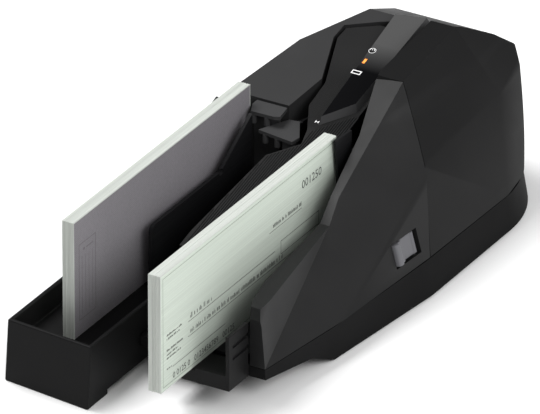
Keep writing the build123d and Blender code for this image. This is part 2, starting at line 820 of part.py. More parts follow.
def front_cover():
    """Cover beside the feed lane, with a recess for its release lever."""
    body = front_body(0)
    cover = body - front_body(cover_wall)
    cover += knuckles(front_hinge, lane_edge[1][0] + cover_wall / 2) & body
    frame = lever_frame()
    depth = lever_room_depth
    well_depth = depth + cover_wall
    well = Box(lever_room_width + 2 * cover_wall, lever_room_height + 2 * cover_wall, well_depth)
    well = Pos(0, 0, -well_depth / 2) * well
    room = Pos(0, 0, over - depth / 2) * Box(lever_room_width, lever_room_height, depth + 2 * over)
    cover = cover + ((frame * well) & body) - frame * room
    return (cover & front_reach(0)) - deck_room() - pin_room(front_hinge)


def cover_lever():
    """Grip that swings out on its bar and lets the front cover go."""
    tall = lever_room_height - 2 * lever_side_gap
    left = lever_side_gap - lever_room_width / 2
    axis = lever_axis_x()
    low, high = -tall / 2, tall / 2
    back = -lever_pad_thickness
    pad = block((left, low, back), (left + lever_pad_width, high, 0))
    plate = block((left, low, back), (axis, high, back + lever_plate_thickness))
    lever = pad + plate + lever_rod(lever_eye_radius, tall)
    lever -= lever_rod(lever_pin_radius + pin_clearance, tall + over)
    return lever_frame() * lever


def lever_pin():
    """Bar across the recess that carries the lever."""
    return lever_frame() * lever_rod(lever_pin_radius, lever_room_height)


def idler_ends():
    """Lower and upper height of an idler's hub."""
    return tyre_levels[0] - hub_overhang, tyre_levels[1] + tyre_height + hub_overhang


def idler_brackets(place):
    """Rings that hold an idler's pin just below and above its hub."""
    low, high = idler_ends()
    lower = post(place, low - bracket_gap - bracket_height, low - bracket_gap, bracket_radius)
    return lower + post(place, high + bracket_gap, high + bracket_gap + bracket_height, bracket_radius)


def idler_hub_room(place):
    """Space along the whole idler, so that its hub turns freely in the wall."""
    low, high = idler_ends()
    return post(place, low - bracket_gap, high + bracket_gap, idler_hub_radius + tyre_room)


def idler_bore(place):
    """Seat of an idler's fixed pin."""
    low, high = idler_ends()
    seat = bracket_gap + bracket_height
    return post(place, low - seat, high + seat, idler_pin_radius)


def idler_roller(place, radius):
    """Hub with two treads that turns on a fixed pin."""
    low, high = idler_ends()
    roller = post(place, low, high, idler_hub_radius)
    for level in tyre_levels:
        roller += post(place, level, level + tyre_height, radius)
    return roller - post(place, low - over, high + over, idler_pin_radius + shaft_clearance)


def rear_cover():
    """Cover over the right side of the turn; it carries an idler and a reader."""
    cover = rear_body(0) - rear_body(cover_wall)
    cover += knuckles(rear_hinge, slot_edge_x + cover_wall / 2)
    cover -= corner_waste(rear_hinge, -1)
    cover += idler_brackets(pinch_place)
    cover -= tyre_windows(pinch_place, idler_radius) + idler_hub_room(pinch_place) + idler_bore(pinch_place)
    wall_x = slot_edge_x
    cover -= reader_room(sensor_y, sensor_length, wall_x - over, wall_x + cover_wall, sensor_top_z)
    cover -= front_reach(cover_gap)
    cover -= lane_side() - rear_reach()
    return cover - deck_room() - pin_room(rear_hinge)


def left_stock(inset):
    """Region of the left cover before its sides are cut."""
    front = left_cover_front_y
    far_x, far_y = -half_width - clear_by, rear_y + clear_by
    spine_side = [(spine_left_x, spine_front_y), (spine_left_x, far_y), (far_x, far_y)]
    plan = plan_face(moved_in([(far_x, front)] + left_edge + spine_side, inset))
    start = front - clear_by
    profile = [(start, below_all), (start, top_height(start))] + spine_profile()[2:]
    bottom = below_all if inset else seam_z
    return upright(plan, bottom, rear_y) & profile_block(profile, far_x, 0, inset)


def left_body(inset):
    """Faceted body of the left cover."""
    inside = (-10, 60, 30)
    crest_a = (*left_crest_front, top_height(left_crest_front[1]))
    crest_b = (*left_crest_mid, top_height(left_crest_mid[1]))
    crest_c = (*left_crest_rear, top_height(left_crest_rear[1]))
    body = trim(left_stock(inset), (left_side_foot_front, left_side_foot_rear, crest_a), inside, inset)
    body = trim(body, (crest_a, crest_b, left_shoulder_mid), inside, inset)
    body = trim(body, (crest_b, crest_c, left_shoulder_rear), inside, inset)
    return round_rear(body, inset)


def left_cover():
    """Cover over the left side of the turn and the way out."""
    cover = left_body(0) - left_body(cover_wall)
    cover += knuckles(left_hinge, spine_left_x - cover_wall / 2)
    cover -= corner_waste(left_hinge, 1)
    cover += idler_brackets(exit_idler_place)
    cover -= tyre_windows(exit_idler_place, idler_radius) + idler_hub_room(exit_idler_place)
    cover -= idler_bore(exit_idler_place)
    return cover - deck_room() - pin_room(left_hinge)


# ================================================================ exit lane
def exit_block(cap, cap_z, column, rollers):
    """Guide column with a flat cap and small roller ends under its front edge."""
    part = upright(plan_face(column), lane_floor_z, cap_z)
    part += upright(plan_face(cap), cap_z, cap_z + cap_thickness)
    for place in rollers:
        part += post(place, cap_z - cap_roller_length, cap_z, cap_roller_radius)
    return part


def between(a, b, width_a, width_b):
    """Tapered plan polygon from one position to another."""
    length = plan_distance(a, b)
    ux, uy = (b[0] - a[0]) / length, (b[1] - a[1]) / length
    half_a, half_b = width_a / 2, width_b / 2
    return [(a[0] - uy * half_a, a[1] + ux * half_a), (a[0] + uy * half_a, a[1] - ux * half_a),
            (b[0] + uy * half_b, b[1] - ux * half_b), (b[0] - uy * half_b, b[1] + ux * half_b)]


def diverter_blade():
    """Tapered flap that sends a cheque to either exit lane."""
    outline = plan_face(between(diverter_place, diverter_tip, diverter_root, diverter_edge))
    blade = upright(outline, diverter_bottom_z, diverter_top_z)
    blade += post(diverter_place, diverter_bottom_z, diverter_top_z, diverter_eye_radius)
    return blade - post(diverter_place, 0, rear_y, diverter_pin_radius + pin_clearance)


def diverter_pin():
    """Pin of the diverter, standing on the deck."""
    return post(diverter_place, lane_floor_z, diverter_top_z, diverter_pin_radius)


def pressure_flap():
    """Thin flap that keeps the rear of the feed stack against the island."""
    rear = flap_pin_place[1]
    outline = [(rear, flap_bottom_z), (flap_front_y, flap_bottom_z), (flap_front_y, flap_front_z),
               flap_waist, flap_nose, (rear, flap_rear_z)]
    flap = profile_block(outline, flap_x, flap_x + flap_thickness)
    flap += post(flap_pin_place, flap_bottom_z, flap_eye_top_z, flap_eye_radius)
    return flap - post(flap_pin_place, 0, flap_eye_top_z + 2, flap_pin_radius + pin_clearance)


def flap_pin():
    """Pin of the pressure flap, standing on the deck."""
    return post(flap_pin_place, lane_floor_z, flap_eye_top_z + flap_pin_stand, flap_pin_radius)


# ================================================================ drive
def drive_shaft(place, top_z):
    """Upright shaft with its belt pulley at the bottom."""
    shaft = post(place, shaft_bottom_z, top_z, shaft_radius)
    return shaft + post(place, pulley_z, pulley_z + pulley_height, pulley_radius)


def drive_tyres(place):
    """Two rubber tyres on a drive shaft."""
    return group([ring(place, level, level + tyre_height, drive_tyre_radius, shaft_radius)
                  for level in tyre_levels])


def deck_bearings():
    """Plain bearings in the deck, one for each upright shaft."""
    bottom = lane_floor_z - bearing_height
    bores = shaft_radius + shaft_clearance
    return group([ring(place, bottom, lane_floor_z, bearing_radius, bores) for place in drive_places])


def upper_plate():
    """Plate inside the island that steadies the tops of the shafts."""
    plate = upright(island_outline(island_wall), upper_plate_z, upper_plate_z + upper_plate_thickness)
    plate -= block((-half_width, front_y, 0), (half_width, upper_plate_front_y, rear_y))
    for place in drive_places:
        plate -= post(place, 0, rear_y, shaft_radius + shaft_clearance)
    wall_x = island_right[-1][0]
    plate -= reader_room(sensor_y, sensor_length, wall_x - left_sensor_depth, wall_x + over, sensor_top_z)
    (low_x, low_y), (high_x, high_y) = cartridge_low, cartridge_high
    return plate - block((low_x - touch_gap, low_y - touch_gap, 0),
                         (high_x + touch_gap, high_y + touch_gap, rear_y))


def motor_case():
    """Motor body on the deck, bored for its shaft."""
    case = post(motor_place, lane_floor_z, motor_top_z, motor_radius)
    return case - post(motor_place, 0, motor_top_z - base_wall + touch_gap, shaft_radius + shaft_clearance)


def belt_outline(radius):
    """Belt line at the given distance from every shaft."""
    return make_hull([Pos(*place) * Edge.make_circle(radius) for place in drive_places])


def drive_belt():
    """Flat belt round all five pulleys."""
    inner = pulley_radius + belt_gap
    low = pulley_z + (pulley_height - belt_width) / 2
    return upright(belt_outline(inner + belt_thickness) - belt_outline(inner), low, low + belt_width)


def retard_guide():
    """Fixed block opposite the feed roller that holds back all but one cheque."""
    guide = upright(plan_face(retard_block), lane_floor_z, retard_top_z)
    guide -= tyre_windows(retard_place, retard_radius) + idler_hub_room(retard_place)
    return guide - idler_bore(retard_place)


def idler_pin(place):
    """Fixed pin of an idler."""
    return idler_bore(place)


# ================================================================ readers and boards
def left_sensor():
    """Front image reader, standing in the island behind its window."""
    face = island_right[-1][0]
    front, rear = sensor_y - sensor_length / 2, sensor_y + sensor_length / 2
    stem = block((face - left_sensor_depth + sensor_gap, front, lane_floor_z),
                 (face - island_wall - sensor_gap, rear, sensor_top_z))
    return stem + block((face - island_wall - over, front, sensor_bottom_z), (face, rear, sensor_top_z))


def right_sensor():
    """Back image reader, fixed behind the wall of the rear cover."""
    front, rear = sensor_y - sensor_length / 2, sensor_y + sensor_length / 2
    inner = slot_edge_x + cover_wall
    nose = block((slot_edge_x, front, sensor_bottom_z), (inner + over, rear, sensor_top_z))
    flange = block((inner, front - right_sensor_flange, sensor_bottom_z),
                   (inner + right_sensor_depth, rear + right_sensor_flange, sensor_top_z))
    return nose + flange


def reading_head():
    """Magnetic head for the code line along the cheque's foot."""
    face = island_right[-1][0]
    front, rear = head_y - head_length / 2, head_y + head_length / 2
    stem = block((face - head_depth + sensor_gap, front, lane_floor_z),
                 (face - island_wall - sensor_gap, rear, head_top_z))
    return stem + block((face - island_wall - over, front, sensor_bottom_z), (face, rear, head_top_z))


def print_cartridge():
    """Ink cartridge that stands in the island."""
    return block((*cartridge_low, lane_floor_z), (*cartridge_high, cartridge_top_z))


def main_board():
    """Circuit board on four standoffs in the base."""
    return block((*board_low, board_z), (*board_high, board_z + board_thickness))


def board_chips():
    """Larger parts on the circuit board."""
    x, y, z = chip_size
    middle_z = board_z + board_thickness + z / 2
    return group([Pos(*place, middle_z) * Box(x, y, z) for place in chip_places])


# ================================================================ cheques
def cheque_stack(left_x, rear, thickness):
    """Stack of cheques standing on its long edge."""
    top = lane_floor_z + cheque_height
    return block((left_x, rear - cheque_length, lane_floor_z), (left_x + thickness, rear, top))


# ================================================================ write the pieces
pieces = {
    "base_tray": base_tray(),
    "rubber_feet": rubber_feet(),
    "deck_plate": deck_plate(),
    "deck_screws": deck_screws(),
    "exit_pocket": exit_pocket(),
    "exit_side_wall": exit_side_wall(),
    "feed_tray": feed_tray(),
    "divider_plate": divider_plate(),
    "island_housing": island_housing(),
    "control_strip": control_strip(),
    "status_lamp": status_lamp(),
    "power_button": power_button(),
    "spine_panel": spine_panel(),
    "usb_socket": usb_socket(),
    "power_socket": power_socket(),
    "front_cover": front_cover(),
    "cover_lever": cover_lever(),
    "lever_pin": lever_pin(),
    "rear_cover": rear_cover(),
    "left_cover": left_cover(),
    "front_hinge_pin": hinge_pin(front_hinge),
    "rear_hinge_pin": hinge_pin(rear_hinge),
    "left_hinge_pin": hinge_pin(left_hinge),
    "outer_exit_block": exit_block(outer_cap, outer_cap_z, outer_column, outer_cap_rollers),
    "inner_exit_block": exit_block(inner_cap, inner_cap_z, inner_column, inner_cap_rollers),
    "diverter_blade": diverter_blade(),
    "diverter_pin": diverter_pin(),
    "pressure_flap": pressure_flap(),
    "flap_pin": flap_pin(),
    "pick_shaft": drive_shaft(pick_place, shaft_top_z),
    "pick_tyres": drive_tyres(pick_place),
    "feed_shaft": drive_shaft(feed_place, shaft_top_z),
    "feed_tyres": drive_tyres(feed_place),
    "transport_shaft": drive_shaft(transport_place, shaft_top_z),
    "transport_tyres": drive_tyres(transport_place),
    "exit_shaft": drive_shaft(exit_place, shaft_top_z),
    "exit_tyres": drive_tyres(exit_place),
    "motor_rotor": drive_shaft(motor_place, motor_top_z - base_wall),
    "motor_case": motor_case(),
    "deck_bearings": deck_bearings(),
    "upper_plate": upper_plate(),
    "drive_belt": drive_belt(),
    "retard_guide": retard_guide(),
    "retard_pin": idler_pin(retard_place),
    "retard_roller": idler_roller(retard_place, retard_radius),
    "pinch_pin": idler_pin(pinch_place),
    "pinch_roller": idler_roller(pinch_place, idler_radius),
    "exit_idler_pin": idler_pin(exit_idler_place),
    "exit_idler": idler_roller(exit_idler_place, idler_radius),
    "left_sensor": left_sensor(),
    "right_sensor": right_sensor(),
    "reading_head": reading_head(),
    "print_cartridge": print_cartridge(),
    "main_board": main_board(),
    "board_chips": board_chips(),
    "feed_stack": cheque_stack(feed_stack_x, feed_stack_rear_y, feed_stack_thickness),
    "exit_stack": cheque_stack(exit_stack_x, exit_stack_rear_y, exit_stack_thickness),
}

os.makedirs("parts", exist_ok=True)
to_centre = Pos(0, -(front_y + rear_y) / 2, 0)
for name, piece in pieces.items():
    export_step(to_centre * piece, f"parts/{name}.step")
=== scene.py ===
"""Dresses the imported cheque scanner: softened shells, gloss strip, lever grip, ribs, stacks and print."""
import json
import math

import bmesh
import bpy
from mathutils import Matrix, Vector


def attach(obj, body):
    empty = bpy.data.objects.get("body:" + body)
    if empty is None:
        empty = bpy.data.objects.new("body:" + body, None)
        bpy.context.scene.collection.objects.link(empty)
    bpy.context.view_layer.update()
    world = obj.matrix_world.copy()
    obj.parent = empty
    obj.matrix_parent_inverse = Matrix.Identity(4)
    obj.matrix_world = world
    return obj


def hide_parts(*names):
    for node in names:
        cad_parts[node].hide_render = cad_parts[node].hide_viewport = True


bl_info = {
    "name": "Cheque scanner dressing",
    "version": (1, 0, 0),
    "blender": (4, 5, 0),
    "location": "3D View > Sidebar > Scanner",
    "description": "Builds the visible pieces and finishes of a desktop cheque scanner round its CAD frame",
    "category": "Add Mesh",
}

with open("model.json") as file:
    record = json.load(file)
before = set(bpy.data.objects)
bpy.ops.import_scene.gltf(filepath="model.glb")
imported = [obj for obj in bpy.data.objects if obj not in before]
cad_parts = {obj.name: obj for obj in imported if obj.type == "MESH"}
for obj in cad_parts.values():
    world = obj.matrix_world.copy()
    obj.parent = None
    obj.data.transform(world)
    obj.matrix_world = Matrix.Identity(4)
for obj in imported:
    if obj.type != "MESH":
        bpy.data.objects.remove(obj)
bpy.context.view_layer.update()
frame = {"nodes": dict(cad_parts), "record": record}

# Places and sizes are in the model source's millimetres, unless a comment says otherwise.
MM = 0.001
SHIFT_Y = -18.0
TOP_Z = 65.0
TOP_SLOPE = 0.25
STRIP_RISE = 4.0
LANE_FLOOR = 21.3

# Edge rounding: reach for merging points in metres, then the angles of flat and of rounded edges.
MERGE_REACH = 2e-6
FLAT_ANGLE = math.radians(0.4)
ROUND_ANGLE = math.radians(22.0)
COVER_SHARE = 0.8
SMALL_SHARE = 0.6

# Corners of the strip's top before and after its rim is sloped, and how near a point has to be, in metres.
STRIP_TIP = (-2.2, 49.9)
STRIP_BEND = (12.0, 66.0)
STRIP_MOVES = [(STRIP_BEND, (10.3, 67.2)), ((13.2, 143.0), (11.3, 141.9)), (STRIP_TIP, (-1.9, 51.9)),
               ((-6.7, 139.5), (-6.3, 138.7))]
CORNER_REACH = 0.0004
STRIP_ROUND = 0.0003
LEVEL_TOP = 0.93

# Signs on the strip, each a thin print.
SIGN_DEPTH = 0.05
BUTTON = (-2.9, 108.1)
BUTTON_RISE = 0.4
RING_RADII = (2.08, 1.80)
INNER_RING_RADII = (1.45, 1.10)
RING_OPENING = 60.0
BUTTON_DASH = (0.36, 1.1)
RING_STEPS = 32
SLOT_ICON = (-2.2, 89.7)
SLOT_WIDTH = 5.6
SLOT_LINE = 0.6
SLOT_GAP = 1.7
TIP_MARK = (-4.6, 51.9)
TIP_REACH = (1.1, 1.0)

# Lever grip: the lever's own axes, the grip's section along X and Z, and half its height.
LEVER_ORIGIN = Vector((65.518, 25.3, 32.6))
LEVER_X = Vector((0.05508, 0.99848, 0.0))
LEVER_Y = Vector((-0.27538614, 0.01519149, 0.96121366))
LEVER_Z = Vector((0.95975445, -0.0529442, 0.27580483))
GRIP_SECTION = [(-11.0, 0.0), (-10.7, 1.5), (-9.8, 2.1), (-7.6, 2.2), (-6.6, 1.7), (-6.2, 0.0), (-6.2, -0.4),
                (-11.0, -0.4)]
GRIP_HALF_HEIGHT = 5.9
GRIP_ROUND = 0.0004

# Ribs on the island: the corners of its left edge, and how far the ribs stay from each edge.
ISLAND_LEFT = [(-24.0, -47.0), (-17.0, 19.0), (-3.7, 33.4)]
ISLAND_FRONT = -59.7
RIB_FIRST_X = -21.5
RIB_PITCH = 1.4
RIB_COUNT = 27
RIB_RADIUS = 0.4
RIB_SIDES = 8
RIB_RISE = 0.05
RIB_SHORTEST = 4.0
RIB_FRONT_GAP = 1.5
RIB_LEFT_GAP = 5.0
RIB_BEND_GAP = 1.2
RIB_STRIP_GAP = 4.0

# Stacks: left face, rear end and thickness of each.
STACKS = {"feed_stack": (16.5, 22.8, 7.5), "exit_stack": (-52.4, 50.7, 7.2)}
CHEQUE_LENGTH = 182.6
CHEQUE_HEIGHT = 69.2
SHEET_SHARE = 0.9
SHEET_HEADROOM = 0.3
FIRST_SEED = 3

# Print on the cheques, from a face's lower front corner. Boxes are left, low, right, high.
FACE_SINK = 0.03
FACE_MARGIN = 0.3
FACE_HEADROOM = 0.6
FACE_RISE = 0.02
BORDER_RISE = 0.04
INK_RISE = 0.05
DIGIT_DEPTH = 0.01
BORDER_INSET = 2.2
BORDER_TOP_INSET = 1.9
BORDER_LINE = 0.28
FACE_RULES = [(112.0, 42.6, 146.0, 42.9), (28.0, 29.4, 118.0, 29.7), (28.0, 20.6, 150.0, 20.9),
              (12.0, 10.6, 66.0, 10.9), (96.0, 10.6, 168.0, 10.9)]
AMOUNT_BOX = (124.0, 25.0, 164.0, 33.0)
AMOUNT_LINE = 0.3
BACK_PANEL = (5.0, 9.0, 22.0, 54.0)
BACK_LINE = 0.35
BACK_MARKS = [(9.5, 49.0, 10.9, 50.4), (12.5, 49.4, 19.5, 50.0)]
BACK_BARS = [(x, 12.0, x + 0.25, 46.0) for x in (8.0, 11.5, 15.0, 18.5)]
# Rows of strokes: left, low, length, height, seed.
STROKE_ROWS = [(30.0, 31.0, 22.0, 3.0, 3), (30.0, 22.2, 96.0, 2.8, 5), (116.0, 44.4, 30.0, 2.4, 7),
               (6.0, 31.0, 15.0, 1.2, 11), (6.0, 28.8, 13.0, 1.2, 13), (6.0, 22.0, 17.0, 1.3, 17),
               (6.0, 19.6, 12.0, 1.1, 19), (6.0, 17.4, 14.0, 1.1, 23), (6.0, 11.2, 5.0, 1.1, 29)]
# Numbers: text, size, left, low.
NUMBERS = [("001250", 7.0, 146.0, 53.6), ("0 0125 0   0123456789   00125", 5.0, 12.0, 3.6)]

# Stage, in metres: each lamp's place, aim, width, height and watts.
LAMPS = {
    "key lamp": ((-0.50, 0.05, 1.15), (0.0, 0.05, 0.08), 0.6, 0.6, 12.5),
    "side lamp": ((0.9, -0.45, 0.75), (0.05, 0.02, 0.06), 0.7, 0.5, 6.5),
    "facet lamp": ((0.85, 0.62, 0.55), (0.05, -0.02, 0.06), 0.5, 0.5, 2.0),
}
UNMIRRORED_LAMP = "side lamp"
FLOOR_REACH = 4.0
WHITE = (1.0, 1.0, 1.0, 1.0)

# Camera: its axes, the size in pixels of the picture, its scale in pixels to the millimetre and the
# pixel on which the frame's origin falls.
CAMERA_RIGHT = Vector((0.8643, 0.503, 0.0))
CAMERA_UP = Vector((-0.2362, 0.4058, 0.8829))
PICTURE_SIZE = (540.0, 414.0)
PICTURE_SCALE = 1.875
PICTURE_ORIGIN = (292.50, 278.88)
SENSOR_WIDTH = 36.0
CLIP_END = 40.0


# ------------------------------------------------------------------ properties
class ShellSettings(bpy.types.PropertyGroup):
    """Colours and edges of the moulded shells."""

    cover_colour: bpy.props.FloatVectorProperty(
        name="Cover colour", description="Satin plastic of the covers and the island", subtype="COLOR",
        size=3, min=0.0, max=1.0, default=(0.012, 0.012, 0.0123))
    base_colour: bpy.props.FloatVectorProperty(
        name="Base colour", description="Plastic of the base tray, the pocket and the feed tray",
        subtype="COLOR", size=3, min=0.0, max=1.0, default=(0.008, 0.008, 0.0082))
    lane_colour: bpy.props.FloatVectorProperty(
        name="Lane colour", description="Matt plastic inside the lanes", subtype="COLOR",
        size=3, min=0.0, max=1.0, default=(0.010, 0.010, 0.011))
    edge_round: bpy.props.FloatProperty(
        name="Edge rounding", description="Rounding along the moulded edges", subtype="DISTANCE",
        unit="LENGTH", default=0.0009, min=0.0002, max=0.002)


class PaperSettings(bpy.types.PropertyGroup):
    """Cheques standing in the two lanes."""

    sheet_count: bpy.props.IntProperty(
        name="Sheets", description="Cheques drawn in each stack", default=34, min=8, max=60)
    paper_colour: bpy.props.FloatVectorProperty(
        name="Paper colour", description="Pale green paper of the cheques", subtype="COLOR",
        size=3, min=0.0, max=1.0, default=(0.56, 0.585, 0.55))
    back_colour: bpy.props.FloatVectorProperty(
        name="Back print colour", description="Grey-violet print on the backs of the cheques",
        subtype="COLOR", size=3, min=0.0, max=1.0, default=(0.19, 0.18, 0.195))
    jitter: bpy.props.FloatProperty(
        name="Unevenness", description="How far single cheques stand out of the stack", subtype="DISTANCE",
        unit="LENGTH", default=0.00025, min=0.0, max=0.001)


class StageSettings(bpy.types.PropertyGroup):
    """Camera, floor and lamps."""

    lens: bpy.props.FloatProperty(
        name="Lens", description="Focal length of the camera", subtype="DISTANCE_CAMERA", unit="CAMERA",
        default=800.0, min=50.0, max=1200.0)
    ambient: bpy.props.FloatProperty(
        name="Ambient light", description="Strength of the even light from all round", default=0.52,
        min=0.0, max=2.0)
    mirrored: bpy.props.FloatProperty(
        name="Mirrored light", description="Strength of the studio as glossy surfaces mirror it",
        default=0.12, min=0.0, max=2.0)


# ------------------------------------------------------------------ small helpers
def place(x, y, z):
    """Point given in the model source's millimetres, in the frame's metres."""
    return Vector((x * MM, (y + SHIFT_Y) * MM, z * MM))


def top_height(y):
    """Height in millimetres of the sloping top plane at a station along Y."""
    return TOP_Z + TOP_SLOPE * y


def on_strip(x, y, rise=0.0):
    """Point on the raised strip's top face, in metres."""
    return place(x, y, top_height(y) + STRIP_RISE + rise)


def body_of_node(node):
    """Name of the body that a CAD node rides on."""
    for body, nodes in frame["record"]["behaviour"]["bodies"].items():
        if node in nodes:
            return body
    raise RuntimeError("no body for " + node)


def add_object(name, mesh, material=None):
    """New object in the scene at the origin."""
    obj = bpy.data.objects.new(name, mesh)
    bpy.context.scene.collection.objects.link(obj)
    if material is not None:
        mesh.materials.clear()
        mesh.materials.append(material)
    return obj


def baked(obj, name, smooth=True):
    """Plain mesh object of an object with its modifiers applied; the first object is removed."""
    graph = bpy.context.evaluated_depsgraph_get()
    mesh = bpy.data.meshes.new_from_object(obj.evaluated_get(graph), depsgraph=graph)
    mesh.name = name
    result = bpy.data.objects.new(name, mesh)
    bpy.context.scene.collection.objects.link(result)
    bpy.data.objects.remove(obj, do_unlink=True)
    if smooth:
        for face in mesh.polygons:
            face.use_smooth = True
    return result


def weighted(obj):
    """Smooth shading in which large flat faces stay flat."""
    for face in obj.data.polygons:
        face.use_smooth = True
    normals = obj.modifiers.new("normals", "WEIGHTED_NORMAL")
    normals.mode = "FACE_AREA"
    normals.weight = 100
    return obj


def mesh_from(bm, name):
    """Mesh made of a finished draft, with its normals turned outwards."""
    bmesh.ops.recalc_face_normals(bm, faces=bm.faces)
    mesh = bpy.data.meshes.new(name)
    bm.to_mesh(mesh)
    bm.free()
    return mesh


def add_solid(bm, lower, upper):
    """Closed solid between two matching rings of points."""
    low = [bm.verts.new(point) for point in lower]
    high = [bm.verts.new(point) for point in upper]
    count = len(low)
    bm.faces.new(low[::-1])
    bm.faces.new(high)
    for i in range(count):
        following = (i + 1) % count
        bm.faces.new((low[i], low[following], high[following], high[i]))


def prism(name, lower, upper):
    """Mesh of one closed solid between two matching rings of points."""
    bm = bmesh.new()
    add_solid(bm, lower, upper)
    return mesh_from(bm, name)


# ------------------------------------------------------------------ materials
# Pitch of the island's mesh, and spans along the frame's Y over which the island's mesh, the strip's painted
# reflection and its gloss fade, in metres.
MESH_PITCH = 0.0011
MESH_FRONT = (0.027, 0.030)
MESH_REAR = (0.066, 0.090)
# Span along Y over which the strip's colour is painted paler, a painted reflection.
PAINTED_REFLECTION_SPAN = (0.074, 0.096)
GLOSS_SPAN = (0.074, 0.094)
# Pale grey of the painted reflection on the strip and the button.
PAINTED_REFLECTION_COLOUR = (0.07, 0.07, 0.07)
FACE_TINT = 1.06


class Nodes:
    """Short-hand for building one material's node tree."""

    def __init__(self, name):
        self.material = bpy.data.materials.new(name)
        self.material.use_nodes = True
        self.tree = self.material.node_tree
        self.shader = self.tree.nodes["Principled BSDF"]
        self.coords = self.add("ShaderNodeTexCoord").outputs["Object"]

    def add(self, kind, **settings):
        node = self.tree.nodes.new(kind)
        for key, value in settings.items():
            setattr(node, key, value)
        return node

    def link(self, output, target):
        self.tree.links.new(output, target)

    def scaled(self, x, y, z):
        node = self.add("ShaderNodeMapping")
        node.inputs["Scale"].default_value = (x, y, z)
        self.link(self.coords, node.inputs["Vector"])
        return node.outputs["Vector"]

    def noise(self, scale, detail=2.0, vector=None, rough=0.5):
        node = self.add("ShaderNodeTexNoise")
        node.inputs["Scale"].default_value = scale
        node.inputs["Detail"].default_value = detail
        node.inputs["Roughness"].default_value = rough
        self.link(vector or self.coords, node.inputs["Vector"])
        return node.outputs["Fac"]

    def spread(self, value, low_in, high_in, low_out, high_out):
        node = self.add("ShaderNodeMapRange")
        limits = {"From Min": low_in, "From Max": high_in, "To Min": low_out, "To Max": high_out}
        for key, number in limits.items():
            node.inputs[key].default_value = number
        self.link(value, node.inputs["Value"])
        return node.outputs["Result"]

    def math(self, operation, a, b=None):
        node = self.add("ShaderNodeMath", operation=operation)
        for i, value in enumerate((a, b)):
            if value is None:
                continue
            if isinstance(value, (int, float)):
                node.inputs[i].default_value = value
            else:
                self.link(value, node.inputs[i])
        return node.outputs[0]

    def mix(self, factor, a, b):
        node = self.add("ShaderNodeMix", data_type="RGBA")
        for index, value in ((0, factor), (6, a), (7, b)):
            if isinstance(value, (int, float)):
                node.inputs[index].default_value = value
            elif isinstance(value, tuple):
                node.inputs[index].default_value = (*value, 1.0)
            else:
                self.link(value, node.inputs[index])
        return node.outputs[2]

    def bump(self, height, strength, distance, before=None):
        node = self.add("ShaderNodeBump")
        node.inputs["Strength"].default_value = strength
        node.inputs["Distance"].default_value = distance
        self.link(height, node.inputs["Height"])
        if before is not None:
            self.link(before, node.inputs["Normal"])
        return node.outputs["Normal"]

    def axis(self, which):
        node = self.add("ShaderNodeSeparateXYZ")
        self.link(self.coords, node.inputs[0])
        return node.outputs[which]

    def finish(self, colour, roughness, normal=None, **others):
        self.link(colour, self.shader.inputs["Base Color"])
        self.link(roughness, self.shader.inputs["Roughness"])
        if normal is not None:
            self.link(normal, self.shader.inputs["Normal"])
        for key, value in others.items():
            socket = self.shader.inputs[key.replace("_", " ").title().replace("Ior", "IOR")]
            if isinstance(value, bpy.types.NodeSocket):
                self.link(value, socket)
            else:
                socket.default_value = value
        return self.material


def toned(colour, share):
    """A colour made darker or lighter by a share."""
    return tuple(c * share for c in colour)


def moulded(name, colour, rough=0.42, grain=2400.0, depth=0.00005, strength=0.22, level=0.14):
    """Moulded plastic with a fine grain, slight colour drift and faint rub marks."""
    n = Nodes(name)
    drift = n.noise(14.0, 3.0)
    rubs = n.spread(n.noise(60.0, 4.0, n.scaled(1.0, 0.12, 1.6)), 0.62, 0.78, 0.0, 1.0)
    base = n.mix(drift, toned(colour, 0.90), toned(colour, 1.10))
    base = n.mix(n.math("MULTIPLY", rubs, 0.12), base, tuple(c * 1.8 + 0.01 for c in colour))
    roughness = n.math("ADD", n.spread(n.noise(35.0, 3.0), 0.3, 0.7, rough - 0.04, rough + 0.04),
                       n.math("MULTIPLY", rubs, -0.05))
    normal = n.bump(n.noise(grain, 2.0, rough=0.6), strength, depth)
    return n.finish(base, roughness, normal, specular_ior_level=level)


def lane_plastic(name, colour):
    """Matt lane plastic with fine drawing lines along the cheques' path."""
    n = Nodes(name)
    lines = n.noise(900.0, 2.0, n.scaled(1.0, 0.02, 1.0))
    base = n.mix(n.noise(20.0, 3.0), toned(colour, 0.8), toned(colour, 1.25))
    roughness = n.spread(lines, 0.3, 0.7, 0.5, 0.62)
    return n.finish(base, roughness, n.bump(lines, 0.12, 0.00004), specular_ior_level=0.12)


def island_plastic(colour):
    """Island plastic with a fine crossed mesh moulded beside the strip, its pits darkened as painted shade.
    """
    n = Nodes("island plastic with mesh")
    x, y = n.axis(0), n.axis(1)
    period = 2.0 * math.pi / MESH_PITCH
    rise = n.math("SINE", n.math("MULTIPLY", n.math("ADD", x, y), period))
    fall = n.math("SINE", n.math("MULTIPLY", n.math("SUBTRACT", x, y), period))
    pits = n.spread(n.math("MULTIPLY", rise, fall), 0.1, 0.7, 0.0, 1.0)
    front = n.spread(y, *MESH_FRONT, 0.0, 1.0)
    rear = n.spread(y, *MESH_REAR, 1.0, 0.0)
    pit_relief_and_shade = n.math("MULTIPLY", n.math("MULTIPLY", front, rear), pits)
    drift = n.mix(n.noise(16.0, 3.0), toned(colour, 0.9), toned(colour, 1.1))
    # Painted shade: the mesh's pits are darkened to a quarter of the colour; the same pattern also sinks them
    # as a bump.
    base = n.mix(pit_relief_and_shade, drift, toned(colour, 0.25))
    grain = n.bump(n.noise(2400.0, 2.0), 0.2, 0.00005)
    normal = n.bump(n.math("MULTIPLY", pit_relief_and_shade, -1.0), 0.5, 0.0002, grain)
    roughness = n.spread(n.noise(35.0, 3.0), 0.3, 0.7, 0.38, 0.46)
    return n.finish(base, roughness, normal, specular_ior_level=0.14)


